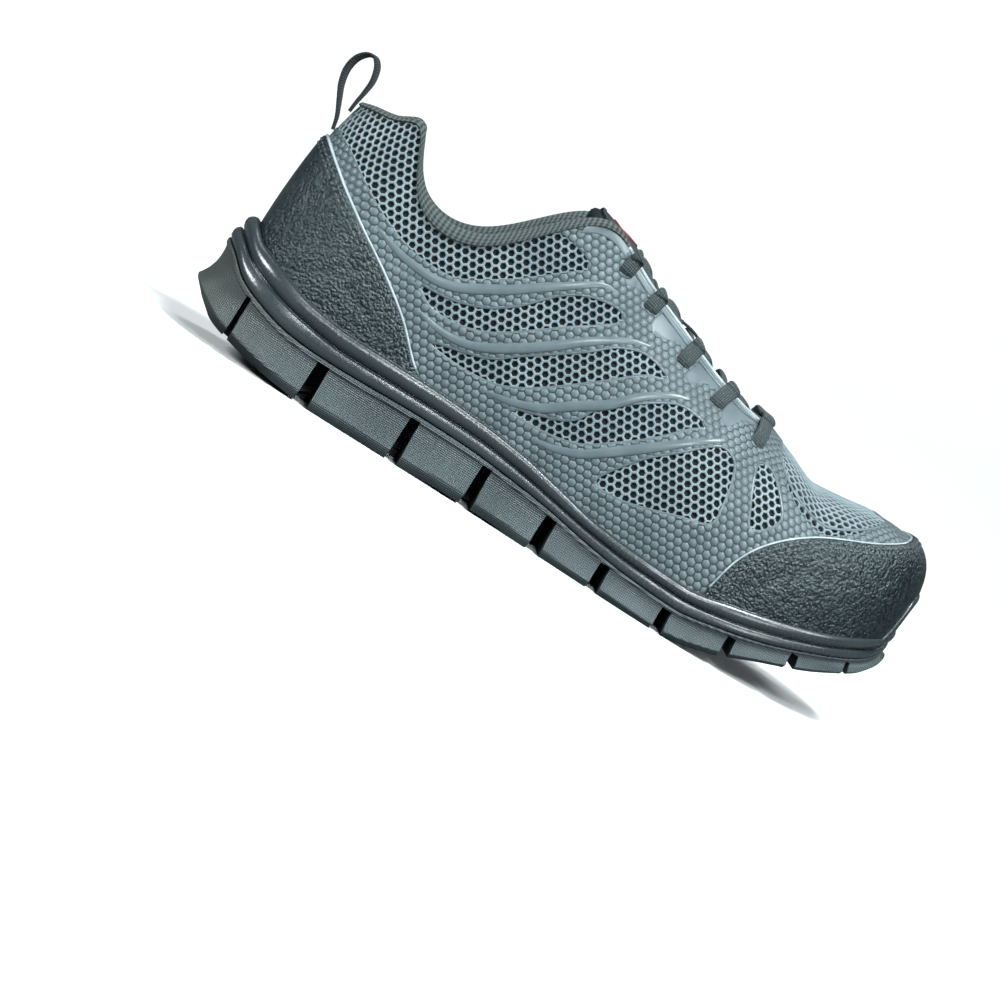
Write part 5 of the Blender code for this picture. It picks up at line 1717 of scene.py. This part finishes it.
for number in range(len(eyelets["places"]) - 1):
    for inner, way, lift in ((False, "over", lacing["overMm"]), (True, "under", lacing["underMm"])):
        laceOver("lace_%s_%d" % (way, number + 1), number, inner, "lace_cross_%d" % (number + 1), lift)
laceBar()
for inner, side in ((False, "outer"), (True, "inner")):
    for number in range(len(eyelets["places"])):
        makeEyelet("eyelet_%s_%d" % (side, number + 1), *eyeletFrame(inner, number)[:3])
print("laces and eyelets are made")


# Padded tongue of mesh cloth, its sewn patch and the lace keeper

tongueDress = {"voxelMm": 1.3, "rimFromX": -.004, "puffMm": 1.3, "foldMm": .22, "foldPitch": .019,
               "firstX": -.045, "lastX": .085, "stripX": .006, "easeX": .014}
patch = {"lengthMm": 27, "wideMm": 38, "thickMm": .9, "borderMm": 1.6, "startX": -.0345,
         "middleY": .0017}
keeper = {"startX": .0125, "endX": .0285, "middleY": .0019, "wideMm": 12.6, "thickMm": 1.25,
          "restMm": .35, "riseMm": 3.0, "stripeMm": 4.6}


def meshClothFinish():
    # open warp-knit mesh over foam: small round holes in rows, matt
    finish, tree, shader = newMaterial("open mesh cloth", "#272d2f", .88, specular=.2, sheen=.06)
    place = addNode(tree, "ShaderNodeTexCoord").outputs["UV"]
    ways = (1, 0, 0), (.5, .866, 0), (.5, -.866, 0)
    first, second, third = (rowsAlong(tree, place, way, 2.1, "COSINE") for way in ways)
    two = addNode(tree, "ShaderNodeMath", {0: first, 1: second}, operation="ADD")
    net = addNode(tree, "ShaderNodeMath", {0: two, 1: third}, operation="ADD")
    threads = addNode(tree, "ShaderNodeMapRange", {"Value": net, "From Min": .2, "From Max": 1.3,
                                                   "To Min": 1.0, "To Max": 0.0})
    fuzz = addNode(tree, "ShaderNodeTexNoise", blobs(place, .6))
    colourBy(tree, shader, net, "#343b3e", "#0d0f10", .2, 1.3)
    raiseBy(tree, shader, fuzz, .08, .5)
    raiseBy(tree, shader, threads, .3, .9)
    return finish


def patchFinish():
    # woven damask patch: fine twill, slightly silky
    finish, tree, shader = newMaterial("woven damask patch", "#191c1e", .6)
    place = addNode(tree, "ShaderNodeTexCoord").outputs["UV"]
    twill = rowsAlong(tree, place, (1, 1, 0), .75)
    colourBy(tree, shader, twill, "#101314", "#23282a", -1, 1)
    raiseBy(tree, shader, twill, .06, .6)
    return finish


meshCloth = meshClothFinish()
patchCloth = patchFinish()
# Brushed knit that binds the tongue's top: matt and nearly black
tongueCloth = grained("brushed knit", "#1e2325", .92, dark="#0f1213", cloud=(.8, 3),
                      rise=(.12, .8), specular=.2)
# Pale grey retroreflective tape, with a fine glass-bead surface
reflective = grained("retroreflective tape", "#dadddd", .35, dark="#b7bcbc", cloud=(.3, 2),
                     rise=(.03, .4))
# Deep red polyester embroidery thread, a little glossy
redThread = grained("red embroidery thread", "#7d1f2a", .45, grain=(.35, 2), rise=(.05, .6))


def layAlongTop(piece):
    # a map in metres over the tongue: across it, and along it from the toe end
    coords = np.array([tuple(v.co) for v in piece.data.vertices])
    lengthway = np.linspace(tongueDress["firstX"], tongueDress["lastX"], 66)
    strips = [coords[np.abs(coords[:, 0] - x) < tongueDress["stripX"], 2] for x in lengthway]
    filled = [i for i, strip in enumerate(strips) if len(strip)]
    heights = np.interp(lengthway, lengthway[filled], [strips[i].max() for i in filled])
    along = np.interp(coords[:, 0], lengthway, alongLine(np.column_stack([lengthway, heights])))
    layer = piece.data.uv_layers.new(name="map")
    corners = np.zeros(len(piece.data.loops), int)
    piece.data.loops.foreach_get("vertex_index", corners)
    values = np.stack([coords[:, 1][corners], along[corners]], 1)
    layer.data.foreach_set("uv", values.reshape(-1).astype(np.float32))


def makeTongue():
    # the solid's own shape made soft: even faces, a fuller top and soft folds where it bends
    mesh = tongueSolid.data.copy()
    work = bmesh.new()
    work.from_mesh(mesh)
    bmesh.ops.remove_doubles(work, verts=work.verts, dist=1e-5)
    work.to_mesh(mesh)
    work.free()
    piece = newObject("tongue_padding", mesh)
    remesh = piece.modifiers.new("even", "REMESH")
    remesh.mode, remesh.voxel_size = "VOXEL", tongueDress["voxelMm"] * mm
    smooth = piece.modifiers.new("soft", "SMOOTH")
    smooth.factor, smooth.iterations = .5, 5
    fresh = freezeMesh(piece)
    coords = np.array([tuple(v.co) for v in fresh.vertices])
    normal = np.array([tuple(v.normal) for v in fresh.vertices])
    puff = easeStep((tongueDress["rimFromX"] - coords[:, 0]) / tongueDress["easeX"])
    puff *= tongueDress["puffMm"] * mm
    coords = coords + normal * puff[:, None]
    phase = coords[:, 0] * 2 * math.pi / tongueDress["foldPitch"]
    wave = np.sin(phase + 1.3 * np.sin(coords[:, 1] * 70))
    fold = wave * tongueDress["foldMm"] * mm * (normal[:, 2] > .3)
    coords = coords + normal * fold[:, None]
    fresh.vertices.foreach_set("co", coords.reshape(-1).astype(np.float32))
    fresh.materials.clear()
    for finish in (meshCloth, tongueCloth):
        fresh.materials.append(finish)
    for polygon in fresh.polygons:
        polygon.use_smooth = True
        isPlain = polygon.normal.z < .45 or polygon.center.x < tongueDress["rimFromX"] - .004
        polygon.material_index = int(isPlain)
    layAlongTop(piece)
    dress(piece, "tongue mesh", "tongue")
    return hitTree(fresh)


softTongue = makeTongue()


def onTongue(x, y, liftMm):
    # a point over the soft tongue with its outward direction, or nothing beside it
    hit, facing = fromAbove(softTongue, x, y)
    return None if hit is None else (np.array(hit) + np.array(facing) * liftMm * mm, np.array(facing))


def patchSpot(across, along):
    # a place on the patch from its shares: along runs from the tongue's top to the laces
    x = patch["startX"] + along * patch["lengthMm"] * mm * .86
    y = patch["middleY"] + across * patch["wideMm"] / 2 * mm
    return onTongue(x, y, patch["thickMm"]) or onTongue(x + .003, y * .95, patch["thickMm"])


def makePatch():
    # rounded at the tongue's top, straight at the laces, with a whipped border
    top, normal = [], []
    for along in np.linspace(.06, 1, 30):
        narrow = math.sqrt(max(0, 1 - (1 - min(along / .42, 1)) ** 2)) * (.86 + .14 * (1 - along))
        spots, facing = zip(*(patchSpot(across * narrow, along) for across in np.linspace(-1, 1, 41)))
        top.append(spots)
        normal.append(facing)
    top, normal = np.array(top), np.array(normal)
    for _ in range(3):
        top[1:-1, 1:-1] = (top[:-2, 1:-1] + top[2:, 1:-1] + top[1:-1, :-2] + top[1:-1, 2:]) / 4
    under = top - normal * 1.6 * mm
    ring = np.concatenate([top, under[:, ::-1]], 1)
    piece = gridPiece("tongue_patch", ring, patchCloth, closed=(False, True), caps=True)
    dress(piece, "sock cloth", "tongue")
    line, out = (splineLine(np.concatenate([table[::-1, 0], table[0, 1:-1], table[:, -1]])[::2], 220)
                 for table in (top, normal))
    border = flatSweep("patch_border", line, unit(out), patch["borderMm"], 1.0, webbing, 10)
    dress(border, "sock cloth")
    return top, normal


def flatOn(u, v):
    # a point of the patch from shares 0 to 1 along and across it, with its outward direction
    i, j = u * (patchTop.shape[0] - 1), v * (patchTop.shape[1] - 1)
    a, b = int(i), int(j)
    p, q = i - a, j - b
    spot, up = (((table[a, b] * (1 - p) + table[a + 1, b] * p) * (1 - q)
                 + (table[a, b + 1] * (1 - p) + table[a + 1, b + 1] * p) * q)
                for table in (patchTop, patchNormal))
    return spot, unit(up)


patchTop, patchNormal = makePatch()


def makePlainBadge():
    # a plain oval ring sewn on the patch, with no letters in it
    line, out = [], []
    for angle in np.linspace(0, 2 * math.pi, 60, endpoint=False):
        spot, up = flatOn(.52 + .27 * math.cos(angle), .5 + .24 * math.sin(angle))
        line.append(spot + up * .15 * mm)
        out.append(up)
    line, out = np.array(line), np.array(out)
    along = tangents(line, True)
    side = unit(np.cross(out, along))
    grid = []
    for angle in np.linspace(0, 2 * math.pi, 8, endpoint=False):
        grid.append(line + side * math.cos(angle) * .55 * mm + out * math.sin(angle) * .32 * mm)
    piece = gridPiece("patch_ring", np.stack(grid, 1), redThread, closed=(True, True))
    dress(piece, "sock cloth")


def makeKeeper():
    # webbing loop on the tongue that the laces pass under, with a reflective stripe
    xs = np.linspace(keeper["startX"], keeper["endX"], 34)
    line, out = (np.array(table) for table in zip(*(onTongue(x, keeper["middleY"], 0) for x in xs)))
    out = unit(out)
    arch = np.clip(np.sin(math.pi * np.linspace(0, 1, len(xs))), 0, 1) ** .5
    line = line + out * ((keeper["restMm"] + keeper["riseMm"] * arch) * mm)[:, None]
    line, out = splineLine(line[::3], 60), unit(splineLine(out[::3], 60))
    strap = flatSweep("keeper_webbing", line, out, keeper["wideMm"], keeper["thickMm"], webbing, 14)
    dress(strap, "woven webbing", "lace_keeper")
    face = line[8:-8] + out[8:-8] * .62 * mm
    stripe = flatSweep("keeper_stripe", face, out[8:-8], keeper["stripeMm"], .5, reflective, 10)
    dress(stripe, "smooth film")


makePlainBadge()
makeKeeper()
print("tongue, patch and keeper are made")


# Pull loop at the heel, footbed cloth and the seams

pullLoop = {"widthMm": 8.6, "thickMm": 1.5, "height": .032, "sway": .0006, "lean": .34}
# The strap's bend from its foot: how far back and up, in shares of its height
loopKnots = [(0, 0), (.04, .16), (.12, .34), (.20, .52), (.235, .70), (.205, .86), (.12, .965),
             (.02, .985), (-.06, .90), (-.10, .74), (-.09, .58), (-.065, .42), (-.052, .29)]


def makeStrap():
    # rises from the foot of the solid strap and turns a little out of line, as webbing does
    coords = np.array([tuple(v.co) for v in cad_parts["pull_loop"].data.vertices])
    foot = coords[coords[:, 2] < coords[:, 2].min() + .0006]
    middleY = (coords[:, 1].min() + coords[:, 1].max()) / 2
    knots = np.array([(-back, 0, up) for back, up in loopKnots]) * pullLoop["height"]
    line = splineLine(knots, 140) + (foot[:, 0].mean(), middleY, coords[:, 2].min())
    sway = np.sin(np.linspace(0, math.pi, len(line)))
    across = points3(pullLoop["lean"] * sway, 1, 0)
    out = unit(np.cross(across, tangents(line)))
    line = line + points3(0, pullLoop["sway"] * sway, 0)
    strap = flatSweep("pull_strap", line, out, pullLoop["widthMm"], pullLoop["thickMm"], webbing, 16)
    dress(strap, "woven webbing", "pull_loop")


makeStrap()
# Brushed cloth over a foam footbed, nearly black
footbed = grained("footbed cloth", "#2f3639", .95, dark="#1b2022", cloud=(1.4, 3),
                  rise=(.12, .8), specular=.2, sheen=.06)
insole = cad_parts["insole"]
insole.data.materials.clear()
insole.data.materials.append(footbed)
makeStitches()
print("pull loop, footbed and stitches are made")
